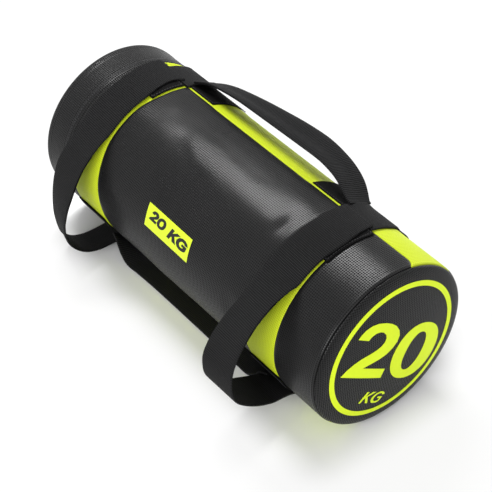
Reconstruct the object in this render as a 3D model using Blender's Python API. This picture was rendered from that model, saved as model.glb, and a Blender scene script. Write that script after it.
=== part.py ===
"""Sandbag trainer: a padded cylinder of black and lime panels filled with sand, with webbing bands round it.

Each band leaves the bag on both long sides as a hanging loop handle, and two long handles run along the bag
between the bands. Metres, +Z up, +X towards the printed end, the floor at z = 0, the user's side at -Y.
"""

import math

import bmesh
import bpy
from mathutils import Vector

# Sizes of the bag
BODY_RADIUS = 0.105
SIDE_HALF_LENGTH = 0.236
FLAT_DEPTH = 0.004
RING_STEPS = 72

# Sizes of the cover
SKIN = 0.0012
GAP = 0.0003
CAP_RIM_WIDTH = 0.0095
CAP_EDGE_ROUND = 0.004
CAP_DOME = 0.0065
CAP_DOME_SHARES = ((0.80, 0.36), (0.52, 0.76), (0.26, 0.95))

# Where the cover's panels meet: along X as shares of half the side's length, and round the bag in degrees,
# 0 on top and 90 on the user's side
BELT_LEFT_SHARES = (-0.8500, -0.6440)
BELT_RIGHT_SHARES = (0.5740, 0.7790)
STRIP_LEFT_END_SHARE = -0.9110
STRIP_TOP_ANGLES = (-52.5, -17.5)
STRIP_BOTTOM_ANGLES = (127.5, 162.5)

# Sizes of the filling
PADDING = 0.010
END_PAD = 0.010
POUCHES = 4

# Sizes of the webbing
WEB_WIDTH = 0.050
WEB = 0.003
PATCH = 0.002
PATCH_PEEK = 0.005
BAND_LEFT_SHARE = -0.7542
BAND_RIGHT_SHARE = 0.6831
BASE_PATCH_LEFT_SHARE = -0.4237
BASE_PATCH_RIGHT_SHARE = 0.3475
ROUTE_STEPS = 3
PATCH_TOP_LEFT_ANGLES = (-80.0, 10.0)
PATCH_TOP_RIGHT_ANGLES = (-91.0, 21.0)
PATCH_BOTTOM_ANGLES = (112.0, 190.0)

# Sizes of the hinge lines of the loops
LOOP_SWING = 25.0
SWING_SPARE = 3.0
FRONT_AXIS_SHARE = 0.90
REAR_AXIS_SHARE = 1.13
CUT_OVERRUN = 0.02

# Heights that follow from the stack of layers under the bag, which stands on its two bands
STACK = GAP + PATCH + GAP + WEB
BODY_BOTTOM = STACK
AXIS_Z = BODY_BOTTOM + BODY_RADIUS - FLAT_DEPTH
STEP = 360.0 / RING_STEPS
BAND_LEFT = SIDE_HALF_LENGTH * BAND_LEFT_SHARE
BAND_RIGHT = SIDE_HALF_LENGTH * BAND_RIGHT_SHARE
FRONT_AXIS = BODY_RADIUS * FRONT_AXIS_SHARE
REAR_AXIS = BODY_RADIUS * REAR_AXIS_SHARE

# Routes of the webbing, (y, z) from the bag's axis as shares of its radius, the middle of the thickness
FRONT_RIGHT_SHARES = (
    (-0.905, 0.690), (-1.035, 0.580), (-1.170, 0.455), (-1.310, 0.300), (-1.430, 0.120),
    (-1.492, -0.070), (-1.490, -0.270), (-1.425, -0.440), (-1.300, -0.580), (-1.150, -0.690),
    (-0.985, -0.765), (-0.860, -0.785), (-0.740, -0.800), (-0.660, -0.825),
)
FRONT_LEFT_SHARES = (
    (-0.900, 0.655), (-0.990, 0.545), (-1.085, 0.420), (-1.180, 0.270), (-1.255, 0.100),
    (-1.320, -0.090), (-1.375, -0.290), (-1.395, -0.480), (-1.350, -0.650), (-1.230, -0.780),
    (-1.060, -0.850), (-0.870, -0.875), (-0.720, -0.885), (-0.570, -0.900),
)
REAR_SHARES = (
    (1.130, 0.050), (1.235, -0.140), (1.350, -0.340), (1.445, -0.530), (1.499, -0.700),
    (1.460, -0.860), (1.330, -0.965), (1.150, -1.001), (0.900, -1.001), (0.620, -1.001), (0.350, -1.001),
)
FRONT_LIFT_SHARES = ((-0.745, 0.785), (-0.825, 0.745))
FRONT_LEFT_LIFT_SHARES = ((-0.740, 0.768), (-0.822, 0.713))
REAR_LIFT_SHARES = ((1.055, 0.220), (0.985, 0.375))
LIFT_ANGLE = 38.0
REAR_LIFT_ANGLE = -64.0
LANDING_LEFT_ANGLE = 153.0
LANDING_RIGHT_ANGLE = 147.0
LANDING_REAR_ANGLE = 195.0

# Routes of the long handles: x as a share of half the side's length, the distance from the bag's axis and the
# shift across as shares of its radius, and the roll in degrees
TOP_HANDLE_ANGLE = -35.0
TOP_HANDLE_SHARES = (
    (-0.660, 1.043, 0.0, 0.0), (-0.596, 1.060, 0.0, 0.0), (-0.534, 1.092, 0.0, 0.0),
    (-0.445, 1.132, 0.0, 0.0), (-0.311, 1.172, 0.0, 1.0), (-0.156, 1.208, 0.0, 3.0),
    (0.000, 1.235, 0.0, 5.0), (0.156, 1.252, 0.0, 6.0), (0.289, 1.240, 0.0, 6.0), (0.378, 1.205, 0.0, 4.0),
    (0.445, 1.160, 0.0, 2.0), (0.498, 1.105, 0.0, 0.0), (0.545, 1.052, 0.0, 0.0), (0.590, 1.043, 0.0, 0.0),
)
TOP_HANDLE_HINGE_SHARES = (1.0857, 0.0)
TOP_HANDLE_END_SHARES = (-0.5170, 0.4915)
BOTTOM_HANDLE_ANGLE = 145.0
BOTTOM_HANDLE_SHARES = (
    (-0.660, 1.043, 0.0, 0.0), (-0.614, 1.064, 0.010, -8.0), (-0.565, 1.108, 0.045, -24.0),
    (-0.512, 1.141, 0.077, -35.0), (-0.423, 1.142, 0.100, -35.0), (-0.267, 1.138, 0.116, -35.0),
    (0.000, 1.137, 0.118, -35.0), (0.222, 1.138, 0.116, -35.0), (0.347, 1.142, 0.100, -35.0),
    (0.423, 1.141, 0.077, -35.0), (0.472, 1.108, 0.045, -24.0), (0.514, 1.064, 0.010, -8.0),
    (0.590, 1.043, 0.0, 0.0),
)
BOTTOM_HANDLE_HINGE_SHARES = (1.1410, 0.0770)
BOTTOM_HANDLE_END_SHARES = (-0.5114, 0.4225)


def clear_scene():
    for old in list(bpy.data.objects):
        bpy.data.objects.remove(old, do_unlink=True)


def material(name, colour, roughness):
    made = bpy.data.materials.new(name)
    made.use_nodes = True
    shader = made.node_tree.nodes["Principled BSDF"]
    shader.inputs["Base Color"].default_value = (*colour, 1.0)
    shader.inputs["Roughness"].default_value = roughness
    shader.inputs["Metallic"].default_value = 0.0
    return made


def add_object(name, mesh_maker, finish, origin=(0.0, 0.0, 0.0)):
    """Makes an object from a bmesh in world places, and puts its own origin at the given point."""
    made = mesh_maker
    bmesh.ops.recalc_face_normals(made, faces=made.faces[:])
    bmesh.ops.translate(made, verts=made.verts[:], vec=-Vector(origin))
    mesh = bpy.data.meshes.new(name)
    made.to_mesh(mesh)
    made.free()
    mesh.materials.append(finish)
    mesh.shade_smooth()
    mesh.set_sharp_from_angle(angle=math.radians(30.0))
    placed = bpy.data.objects.new(name, mesh)
    placed.location = origin
    bpy.context.scene.collection.objects.link(placed)
    return placed


def on_ring(offset, angle, radius=None):
    """(y, z) of a point round the bag, at a distance outside the cover, flattened where the bag stands."""
    reach = BODY_RADIUS + offset if radius is None else radius
    turn = math.radians(angle)
    height = AXIS_Z + reach * math.cos(turn)
    return -reach * math.sin(turn), max(height, BODY_BOTTOM - offset)


def sheet(name, x_edges, angles, offset, thickness, finish, keep=None):
    """A piece of cover cut along X and round the bag, given its thickness inwards from the stated offset."""
    made = bmesh.new()
    whole_turn = abs(angles[-1] - angles[0] - 360.0) < STEP / 2
    columns = angles[:-1] if whole_turn else angles
    rows = [[made.verts.new((x, *on_ring(offset, angle))) for angle in columns] for x in x_edges]
    for row in range(len(x_edges) - 1):
        for column in range(len(angles) - 1):
            if keep and not keep(row, (angles[column] + angles[column + 1]) / 2):
                continue
            after = (column + 1) % len(columns)
            corners = (rows[row][column], rows[row][after], rows[row + 1][after], rows[row + 1][column])
            made.faces.new(corners)
    loose = [point for point in made.verts if not point.link_faces]
    bmesh.ops.delete(made, geom=loose, context="VERTS")
    placed = add_object(name, made, finish)
    outward = placed.data.polygons[0]
    middle = outward.center - Vector((outward.center.x, 0.0, AXIS_Z))
    if outward.normal.dot(middle) < 0.0:
        placed.data.flip_normals()
    wall = placed.modifiers.new("Thickness", "SOLIDIFY")
    wall.thickness = thickness
    wall.offset = -1.0
    wall.use_even_offset = True
    return placed


def spread(start, end):
    """Angles from start to end with the bag's own steps between them."""
    first = math.ceil((start - STRIP_TOP_ANGLES[0]) / STEP + 0.01)
    last = math.floor((end - STRIP_TOP_ANGLES[0]) / STEP - 0.01)
    return [start, *(STRIP_TOP_ANGLES[0] + STEP * step for step in range(first, last + 1)), end]


def drawn_in(start, end):
    """Angles of a panel between two seams, each edge drawn in by the gap."""
    trim = math.degrees(GAP / BODY_RADIUS)
    return spread(start + trim, end - trim)


def lathe(name, rings, inset, finish):
    """A solid of rings (x, radius) along the bag's axis, flattened below as the cover is at that inset."""
    made = bmesh.new()
    angles = [STRIP_TOP_ANGLES[0] + STEP * step for step in range(RING_STEPS)]
    loops = []
    for x, radius in rings:
        points = []
        for angle in angles:
            y, _ = on_ring(0.0, angle, radius)
            height = AXIS_Z + radius * math.cos(math.radians(angle))
            points.append(made.verts.new((x, y, max(height, BODY_BOTTOM + inset))))
        loops.append(points)
    for low, high in zip(loops, loops[1:]):
        for step in range(RING_STEPS):
            after = (step + 1) % RING_STEPS
            made.faces.new((low[step], low[after], high[after], high[step]))
    made.faces.new(loops[0])
    made.faces.new(loops[-1])
    return add_object(name, made, finish)


def cap(name, side, finish):
    """A round end panel: a rim that wraps onto the side, a turned edge, and a face that bulges a little."""
    edge = SIDE_HALF_LENGTH + CAP_RIM_WIDTH
    face = edge + CAP_EDGE_ROUND
    rings = [(SIDE_HALF_LENGTH, BODY_RADIUS), (edge, BODY_RADIUS)]
    for quarter_share in (1 / 3, 2 / 3, 1.0):
        turn = quarter_share * math.pi / 2
        rings.append((
            edge + CAP_EDGE_ROUND * math.sin(turn),
            BODY_RADIUS - CAP_EDGE_ROUND * (1 - math.cos(turn)),
        ))
    for radius_share, dome_share in CAP_DOME_SHARES:
        rings.append((face + CAP_DOME * dome_share, BODY_RADIUS * radius_share))
    made = bmesh.new()
    angles = [STRIP_TOP_ANGLES[0] + STEP * step for step in range(RING_STEPS)]
    loops = []
    for x, radius in rings:
        places = ((angle, on_ring(0.0, angle, radius)) for angle in angles)
        loops.append([made.verts.new((side * x, *place)) for _, place in places])
    for low, high in zip(loops, loops[1:]):
        for step in range(RING_STEPS):
            after = (step + 1) % RING_STEPS
            made.faces.new((low[step], low[after], high[after], high[step]))
    tip = made.verts.new((side * (face + CAP_DOME), 0.0, AXIS_Z))
    for step in range(RING_STEPS):
        made.faces.new((loops[-1][step], loops[-1][(step + 1) % RING_STEPS], tip))
    placed = add_object(name, made, finish)
    outward = placed.data.polygons[-1]
    if outward.normal.x * side < 0.0:
        placed.data.flip_normals()
    wall = placed.modifiers.new("Thickness", "SOLIDIFY")
    wall.thickness = SKIN
    wall.offset = -1.0
    wall.use_even_offset = True
    return placed


def smooth_route(points):
    """Points on a smooth curve through the given ones (Catmull-Rom)."""
    knots = [Vector(point) for point in points]
    ends = [knots[0] * 2 - knots[1], *knots, knots[-1] * 2 - knots[-2]]
    route = []
    for before, start, end, after in zip(ends, ends[1:], ends[2:], ends[3:]):
        for step in range(ROUTE_STEPS):
            t = step / ROUTE_STEPS
            route.append(
                0.5 * (
                    2 * start
                    + (end - before) * t
                    + (2 * before - 5 * start + 4 * end - after) * t * t
                    + (3 * start - before - 3 * end + after) * t * t * t
                )
            )
    return [*route, knots[-1]]


def from_shares(shares):
    """Points (y, z) in the world, from shares of the radius about the bag's axis."""
    return [(BODY_RADIUS * y, AXIS_Z + BODY_RADIUS * z) for y, z in shares]


def webbing(name, route, centre_x, finish, start_cut=None, end_cut=None, origin=(0.0, 0.0, 0.0)):
    """Flat webbing along a route in the YZ plane. A cut is the direction in which an end is cut off."""
    points = [Vector(point) for point in route]
    upper = []
    lower = []
    for index, point in enumerate(points):
        before = points[max(index - 1, 0)]
        after = points[min(index + 1, len(points) - 1)]
        along = (after - before).normalized()
        square = Vector((-along.y, along.x))
        bend_share = 1.0
        if 0 < index < len(points) - 1:
            turn = (point - before).normalized().dot((after - point).normalized())
            bend_share = 1.0 / math.sqrt(max((1.0 + turn) / 2, 0.5))
        across = square * (WEB / 2 * bend_share)
        cut = start_cut if index == 0 else end_cut if index == len(points) - 1 else None
        if cut:
            direction = Vector(cut).normalized()
            across = direction * (WEB / 2 / direction.dot(square))
        upper.append(point + across)
        lower.append(point - across)
    made = bmesh.new()
    outline = [*upper, *reversed(lower)]
    start_x = centre_x - WEB_WIDTH / 2
    face = made.faces.new([made.verts.new((start_x, y, z)) for y, z in outline])
    grown = bmesh.ops.extrude_face_region(made, geom=[face])
    moved = [item for item in grown["geom"] if isinstance(item, bmesh.types.BMVert)]
    bmesh.ops.translate(made, verts=moved, vec=(WEB_WIDTH, 0.0, 0.0))
    return add_object(name, made, finish, origin)


def cutter(name, outline, low, high):
    """A hidden prism over an outline in the XY plane."""
    made = bmesh.new()
    face = made.faces.new([made.verts.new((x, y, low)) for x, y in outline])
    grown = bmesh.ops.extrude_face_region(made, geom=[face])
    moved = [item for item in grown["geom"] if isinstance(item, bmesh.types.BMVert)]
    bmesh.ops.translate(made, verts=moved, vec=(0.0, 0.0, high - low))
    placed = add_object(name, made, None)
    placed.hide_render = True
    placed.display_type = "WIRE"
    return placed


def cut_away(placed, tool):
    cut = placed.modifiers.new("Cut", "BOOLEAN")
    cut.operation = "DIFFERENCE"
    cut.solver = "EXACT"
    cut.object = tool


def arc_about(centre_x, centre_y, radius, out, half_angle, steps=12):
    """Points of an arc about a hinge line, centred on the way out of the bag (out is -1 at the front)."""
    points = []
    for step in range(steps + 1):
        turn = math.radians(-half_angle + 2 * half_angle * step / steps)
        points.append((centre_x + radius * math.sin(turn), centre_y + out * radius * math.cos(turn)))
    return points


def round_end(placed, centre_x, centre_y, out, top):
    """Rounds the fixed end of a lower root about the loop's hinge line."""
    reach = WEB_WIDTH / 2
    wide = reach + CUT_OVERRUN
    far = centre_y + out * wide
    outline = [
        (centre_x - wide, centre_y),
        *arc_about(centre_x, centre_y, reach, out, 90.0),
        (centre_x + wide, centre_y),
        (centre_x + wide, far),
        (centre_x - wide, far),
    ]
    side = "_front" if out < 0.0 else "_rear"
    cut_away(placed, cutter(placed.name + side + "_cutter", outline, -CUT_OVERRUN, top))


def hollow_end(placed, centre_x, centre_y, out, top):
    """Hollows the moving loop's lower end, so that it swings round the fixed end without touching it."""
    reach = WEB_WIDTH / 2 + GAP
    wide = reach + CUT_OVERRUN
    half_angle = 90.0 - LOOP_SWING - SWING_SPARE
    edge = math.radians(half_angle)
    flare = wide / math.sin(edge)
    behind = centre_y - out * (BODY_RADIUS / 2)
    outline = [
        (centre_x - wide, centre_y + out * flare * math.cos(edge)),
        *arc_about(centre_x, centre_y, reach, out, half_angle),
        (centre_x + wide, centre_y + out * flare * math.cos(edge)),
        (centre_x + wide, behind),
        (centre_x - wide, behind),
    ]
    cut_away(placed, cutter(placed.name + "_cutter", outline, -CUT_OVERRUN, top))


def band_ring(angles):
    """Points (y, z) along the middle of a band that lies on its patch."""
    offset = GAP + PATCH + GAP + WEB / 2
    return [on_ring(offset, angle) for angle in angles]


def long_handle_place(angle):
    """The way out of the bag and the way across a handle at that angle round it, and the bag's middle."""
    turn = math.radians(angle)
    out = Vector((0.0, -math.sin(turn), math.cos(turn)))
    across = Vector((0.0, -math.cos(turn), -math.sin(turn)))
    return out, across, Vector((0.0, 0.0, AXIS_Z))


def long_handle_stations(shares, angle):
    """Places along a long handle: its middle, the way across it, and the way out of its face."""
    out, across, centre = long_handle_place(angle)
    radius = BODY_RADIUS
    knots = [(x * SIDE_HALF_LENGTH, reach * radius, shift * radius, roll) for x, reach, shift, roll in shares]
    stations = []
    for x, reach, shift, roll in smooth_route(knots):
        lean = math.radians(roll)
        side = across * math.cos(lean) + out * math.sin(lean)
        face = out * math.cos(lean) - across * math.sin(lean)
        stations.append((centre + out * reach + across * shift + Vector((x, 0.0, 0.0)), side, face))
    return stations


def between(stations, low, high):
    """The stations from one X to another, with one worked out at each end."""
    def at(x):
        for first, second in zip(stations, stations[1:]):
            if first[0].x <= x <= second[0].x:
                share = (x - first[0].x) / (second[0].x - first[0].x)
                mixed = [one.lerp(two, share) for one, two in zip(first, second)]
                return mixed[0], mixed[1].normalized(), mixed[2].normalized()
        return stations[0] if x < stations[0][0].x else stations[-1]

    inner = [station for station in stations if low + WEB / 2 < station[0].x < high - WEB / 2]
    return [at(low), *inner, at(high)]


def long_webbing(name, stations, finish, origin=(0.0, 0.0, 0.0)):
    """Webbing along the bag: a flat section at each station, the ends square to the bag's length."""
    made = bmesh.new()
    sections = []
    for middle, side, face in stations:
        corners = ((-1, -1), (1, -1), (1, 1), (-1, 1))
        sections.append([
            made.verts.new(middle + side * (WEB_WIDTH / 2 * wide) + face * (WEB / 2 * thick))
            for wide, thick in corners
        ])
    for first, second in zip(sections, sections[1:]):
        for corner in range(4):
            after = (corner + 1) % 4
            made.faces.new((first[corner], first[after], second[after], second[corner]))
    made.faces.new(sections[0])
    made.faces.new(sections[-1])
    return add_object(name, made, finish, origin)


def make_cover(black, lime):
    """The sewn cover: front and rear panels, two long strips, belts under the bands, end panels and caps."""
    front = (STRIP_TOP_ANGLES[1], STRIP_BOTTOM_ANGLES[0])
    rear = (STRIP_BOTTOM_ANGLES[1], STRIP_TOP_ANGLES[0] + 360.0)
    half_gap = GAP / 2

    strip_left_end = SIDE_HALF_LENGTH * STRIP_LEFT_END_SHARE
    belt_left = [SIDE_HALF_LENGTH * share for share in BELT_LEFT_SHARES]
    belt_right = [SIDE_HALF_LENGTH * share for share in BELT_RIGHT_SHARES]

    def along(start, end):
        return [start + half_gap, end - half_gap]

    sides = (("front", front), ("rear", rear))
    for side, angles in sides:
        sheet("panel_" + side, along(belt_left[1], belt_right[0]), drawn_in(*angles), 0.0, SKIN, black)
        sheet("belt_left_" + side, along(*belt_left), drawn_in(*angles), 0.0, SKIN, lime)
        sheet("belt_right_" + side, along(*belt_right), drawn_in(*angles), 0.0, SKIN, lime)
        right_end = along(belt_right[1], SIDE_HALF_LENGTH)
        sheet("end_panel_right_" + side, right_end, drawn_in(*angles), 0.0, SKIN, black)
    for name, angles in (("strip_top", STRIP_TOP_ANGLES), ("strip_bottom", STRIP_BOTTOM_ANGLES)):
        sheet(name, along(strip_left_end, SIDE_HALF_LENGTH), drawn_in(*angles), 0.0, SKIN, lime)

    trim = math.degrees(half_gap / BODY_RADIUS)
    seams = []
    for start, end in (STRIP_TOP_ANGLES, STRIP_BOTTOM_ANGLES):
        seams += [(start, start - trim, start + trim), (end, end - trim, end + trim)]
    angles = []
    for step in range(RING_STEPS):
        angle = STRIP_TOP_ANGLES[0] + STEP * step
        near = [seam for seam in seams if abs(seam[0] - angle) < trim]
        angles += [near[0][1], near[0][2]] if near else [angle]
    angles.append(angles[0] + 360.0)

    def is_panel(row, angle):
        strips = (STRIP_TOP_ANGLES, STRIP_BOTTOM_ANGLES)
        in_strip = any(start - trim < angle < end + trim for start, end in strips)
        return row == 0 or not in_strip

    left_edges = [-SIDE_HALF_LENGTH + half_gap, strip_left_end - half_gap, belt_left[0] - half_gap]
    sheet("end_panel_left", left_edges, angles, 0.0, SKIN, black, is_panel)
    cap("cap_left", -1.0, black)
    cap("cap_right", 1.0, black)


def make_filling(foam, liner):
    """What the cover holds: a foam sleeve, a foam pad at each end, and sand pouches in a row."""
    inset = SKIN + GAP
    pad_back = SIDE_HALF_LENGTH + CAP_RIM_WIDTH + CAP_EDGE_ROUND - SKIN - GAP - END_PAD
    angles = [STRIP_TOP_ANGLES[0] + STEP * step for step in range(RING_STEPS + 1)]
    sheet("padding_sleeve", [-pad_back + GAP, pad_back - GAP], angles, -inset, PADDING, foam)
    pad_radius = BODY_RADIUS - CAP_EDGE_ROUND - inset
    for name, side in (("end_pad_left", -1.0), ("end_pad_right", 1.0)):
        rings = [(side * pad_back, pad_radius), (side * (pad_back + END_PAD), pad_radius)]
        for radius_share, dome_share in CAP_DOME_SHARES:
            reach = pad_back + END_PAD + CAP_DOME * dome_share - GAP
            rings.append((side * reach, BODY_RADIUS * radius_share))
        lathe(name, rings, CAP_EDGE_ROUND + inset, foam)
    pouch_radius = BODY_RADIUS - inset - PADDING - GAP
    pouch_length = 2 * (pad_back - GAP) / POUCHES
    for number in range(POUCHES):
        start = -pad_back + GAP + pouch_length * number
        rings = [(start + GAP / 2, pouch_radius), (start + pouch_length - GAP / 2, pouch_radius)]
        lathe("sand_pouch_" + str(number + 1), rings, BODY_RADIUS - pouch_radius, liner)


def make_patches(web):
    """Webbing patches sewn to the cover, under each crossing of band and strip and under each handle root."""
    offset = GAP + PATCH
    crossings = (
        ("top_left", BAND_LEFT, PATCH_TOP_LEFT_ANGLES),
        ("top_right", BAND_RIGHT, PATCH_TOP_RIGHT_ANGLES),
        ("bottom_left", BAND_LEFT, PATCH_BOTTOM_ANGLES),
        ("bottom_right", BAND_RIGHT, PATCH_BOTTOM_ANGLES),
    )
    for name, centre, angles in crossings:
        edges = [centre - WEB_WIDTH / 2 + GAP, centre + WEB_WIDTH / 2 + PATCH_PEEK]
        sheet("anchor_patch_" + name, edges, spread(*angles), offset, PATCH, web)
    half_turn = math.degrees(WEB_WIDTH / 2 / BODY_RADIUS)
    left = (BAND_LEFT + WEB_WIDTH / 2 + PATCH_PEEK + GAP, SIDE_HALF_LENGTH * BASE_PATCH_LEFT_SHARE)
    right = (SIDE_HALF_LENGTH * BASE_PATCH_RIGHT_SHARE, BAND_RIGHT - WEB_WIDTH / 2)
    for name, middle in (("top", TOP_HANDLE_ANGLE), ("bottom", BOTTOM_HANDLE_ANGLE)):
        angles = spread(middle - half_turn, middle + half_turn)
        sheet("base_patch_" + name + "_left", left, angles, offset, PATCH, web)
        sheet("base_patch_" + name + "_right", right, angles, offset, PATCH, web)


def make_bands(web):
    """The two bands: a stretch over the top, a stretch under the bag, and a loop handle on each side."""
    sides = (
        ("left", BAND_LEFT, FRONT_LEFT_SHARES, FRONT_LEFT_LIFT_SHARES, LANDING_LEFT_ANGLE),
        ("right", BAND_RIGHT, FRONT_RIGHT_SHARES, FRONT_LIFT_SHARES, LANDING_RIGHT_ANGLE),
    )
    level = (0.0, 1.0)
    flat = (1.0, 0.0)
    top_of_cut = AXIS_Z - BODY_RADIUS / 2
    for name, centre, front_shares, lift_shares, landing in sides:
        front = from_shares(front_shares)
        rear = from_shares(REAR_SHARES)
        over = band_ring(spread(REAR_LIFT_ANGLE, LIFT_ANGLE))
        start = (rear[0][0], rear[0][1] + GAP / 2)
        end = (front[0][0], front[0][1] + GAP / 2)
        top = [start, *from_shares(REAR_LIFT_SHARES), *over, *from_shares(lift_shares), end]
        webbing("band_top_" + name, top, centre, web, flat, flat)
        tabs = []
        places = (("front", front, -1.0, -FRONT_AXIS), ("rear", rear, 1.0, REAR_AXIS))
        for place, route, out, axis_y in places:
            smooth = [Vector((point.x, max(point.y, WEB / 2))) for point in smooth_route(route)]
            smooth[0] = Vector((route[0][0], route[0][1] - GAP / 2))
            reach = abs(axis_y) + WEB_WIDTH / 2 + CUT_OVERRUN / 2
            turn_at = max(range(len(smooth)), key=lambda index: abs(smooth[index].x))
            tabs.append([point for point in smooth[turn_at:] if abs(point.x) < reach])
            low = [point for point in smooth[turn_at:] if abs(point.x) > abs(axis_y)]
            hinge = (centre, axis_y, AXIS_Z)
            hanging = smooth[:turn_at] + low
            loop = webbing("loop_" + place + "_" + name, hanging, centre, web, flat, level, hinge)
            hollow_end(loop, centre, axis_y, out, top_of_cut)
        under = [Vector(point) for point in band_ring(spread(landing, LANDING_REAR_ANGLE))]
        bottom = webbing("band_bottom_" + name, [*tabs[0], *under, *reversed(tabs[1])], centre, web)
        round_end(bottom, centre, -FRONT_AXIS, -1.0, top_of_cut)
        round_end(bottom, centre, REAR_AXIS, 1.0, top_of_cut)


def make_long_handles(web):
    """The two long handles: a root sewn down at each band, and the strap that swings between them."""
    top = (TOP_HANDLE_SHARES, TOP_HANDLE_ANGLE, TOP_HANDLE_END_SHARES, TOP_HANDLE_HINGE_SHARES)
    bottom = (BOTTOM_HANDLE_SHARES, BOTTOM_HANDLE_ANGLE, BOTTOM_HANDLE_END_SHARES, BOTTOM_HANDLE_HINGE_SHARES)
    for name, (shares, angle, end_shares, hinge_shares) in (("top", top), ("bottom", bottom)):
        stations = long_handle_stations(shares, angle)
        out, across, centre = long_handle_place(angle)
        origin = centre + (out * hinge_shares[0] + across * hinge_shares[1]) * BODY_RADIUS
        ends = [SIDE_HALF_LENGTH * share for share in end_shares]
        low = BAND_LEFT + WEB_WIDTH / 2 + GAP
        high = BAND_RIGHT - WEB_WIDTH / 2 - GAP
        long_webbing("handle_root_" + name + "_left", between(stations, low, ends[0] - GAP), web)
        long_webbing("handle_" + name, between(stations, *ends), web, origin)
        long_webbing("handle_root_" + name + "_right", between(stations, ends[1] + GAP, high), web)


clear_scene()
cover_black = material("cover_black", (0.024, 0.024, 0.025), 0.45)
cover_lime = material("cover_lime", (0.62, 0.78, 0.03), 0.50)
padding_foam = material("padding_foam", (0.55, 0.55, 0.52), 0.90)
pouch_liner = material("pouch_liner", (0.25, 0.26, 0.28), 0.70)
webbing_black = material("webbing_black", (0.020, 0.020, 0.021), 0.80)

make_cover(cover_black, cover_lime)
make_filling(padding_foam, pouch_liner)
make_patches(webbing_black)
make_bands(webbing_black)
make_long_handles(webbing_black)
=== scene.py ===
import math

import bmesh
import bpy
import numpy as np
from mathutils import Matrix, Vector
from mathutils.bvhtree import BVHTree


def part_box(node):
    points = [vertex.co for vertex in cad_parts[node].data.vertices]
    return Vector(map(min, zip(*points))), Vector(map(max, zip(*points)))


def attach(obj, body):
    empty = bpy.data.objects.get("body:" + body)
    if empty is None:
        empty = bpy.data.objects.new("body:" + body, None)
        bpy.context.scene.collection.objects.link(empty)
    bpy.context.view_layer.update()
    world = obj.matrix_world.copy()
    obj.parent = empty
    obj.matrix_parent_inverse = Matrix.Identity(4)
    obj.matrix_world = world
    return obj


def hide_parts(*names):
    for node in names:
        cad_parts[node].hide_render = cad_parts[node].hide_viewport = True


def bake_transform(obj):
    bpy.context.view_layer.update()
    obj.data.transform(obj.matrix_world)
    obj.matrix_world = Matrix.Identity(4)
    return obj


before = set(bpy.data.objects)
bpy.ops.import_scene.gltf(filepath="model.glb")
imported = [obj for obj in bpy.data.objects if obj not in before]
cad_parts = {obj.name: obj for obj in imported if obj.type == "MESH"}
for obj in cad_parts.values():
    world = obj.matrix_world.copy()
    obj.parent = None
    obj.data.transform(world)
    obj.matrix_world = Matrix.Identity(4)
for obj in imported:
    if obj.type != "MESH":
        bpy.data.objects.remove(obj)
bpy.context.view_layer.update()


# The room: a wide pale floor that runs on into a white surround, as in a product photograph.
# The bag stands on it at the origin, with its printed end towards +X and the user's side at -Y.
# Beside the bag the floor keeps its shadow, and further out it turns to white where it is seen directly.
WHITE = (1.0, 1.0, 1.0, 1.0)
FLOOR_GREY = (0.84, 0.84, 0.84, 1.0)
SHADOW_HALF_BOX = (0.254, 0.096, 0.0)
SHADOW_FADE = 0.055
WHITER_BESIDE = 0.80
WHITER_FAR_OFF = 0.14
FAR_OFF = (0.25, 1.40)
AMBIENT_STRENGTH = 0.50


def deselect_all():
    if bpy.context.object and bpy.context.object.mode != "OBJECT":
        bpy.ops.object.mode_set(mode="OBJECT")
    bpy.ops.object.select_all(action="DESELECT")


def add_node(tree, kind, fed=None, **settings):
    """A new node; fed gives each of its sockets a value, or the socket that is linked to it."""
    node = tree.nodes.new("ShaderNode" + kind)
    for name, value in settings.items():
        setattr(node, name, value)
    for socket, value in (fed or {}).items():
        if isinstance(value, bpy.types.NodeSocket):
            tree.links.new(value, node.inputs[socket])
        else:
            node.inputs[socket].default_value = value
    return node


def arithmetic(tree, operation, *values):
    return add_node(tree, "Math", dict(enumerate(values)), operation=operation).outputs["Value"]


def new_finish(name, constants):
    """A new material; constants are the shader's own values, the same all over the surface."""
    finish = bpy.data.materials.new(name)
    finish.use_nodes = True
    shader = finish.node_tree.nodes["Principled BSDF"]
    for socket, value in constants.items():
        shader.inputs[socket].default_value = value
    return finish, finish.node_tree, shader


def seen_directly(tree):
    """1 for what the camera, a reflection or glass shows, and 0 for what lights the object."""
    path = tree.nodes.new("ShaderNodeLightPath")
    shown = arithmetic(tree, "MAXIMUM", path.outputs["Is Camera Ray"], path.outputs["Is Glossy Ray"])
    return arithmetic(tree, "MAXIMUM", shown, path.outputs["Is Transmission Ray"])


deselect_all()
bpy.ops.mesh.primitive_circle_add(vertices=96, radius=6.0, fill_type="NGON")
floor = bpy.context.object
floor.name = "studio_floor"
finish, tree, shader = new_finish("pale floor", {"Base Color": FLOOR_GREY, "Specular IOR Level": 0.2})
place = add_node(tree, "TexCoord").outputs["Object"]
speckle = add_node(tree, "TexNoise", {"Vector": place, "Scale": 60.0})
rough = add_node(tree, "MapRange", {"Value": speckle.outputs["Fac"], "To Min": 0.66, "To Max": 0.74})
tree.links.new(rough.outputs["Result"], shader.inputs["Roughness"])
middle = add_node(tree, "VectorMath", {0: place}, operation="LENGTH")
folded = add_node(tree, "VectorMath", {0: place}, operation="ABSOLUTE")
beyond = add_node(tree, "VectorMath", {0: folded.outputs["Vector"], 1: SHADOW_HALF_BOX}, operation="SUBTRACT")
clear = add_node(tree, "VectorMath", {0: beyond.outputs["Vector"], 1: (0.0, 0.0, 0.0)}, operation="MAXIMUM")
beside = add_node(tree, "VectorMath", {0: clear.outputs["Vector"]}, operation="LENGTH")
whiter = []
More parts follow.
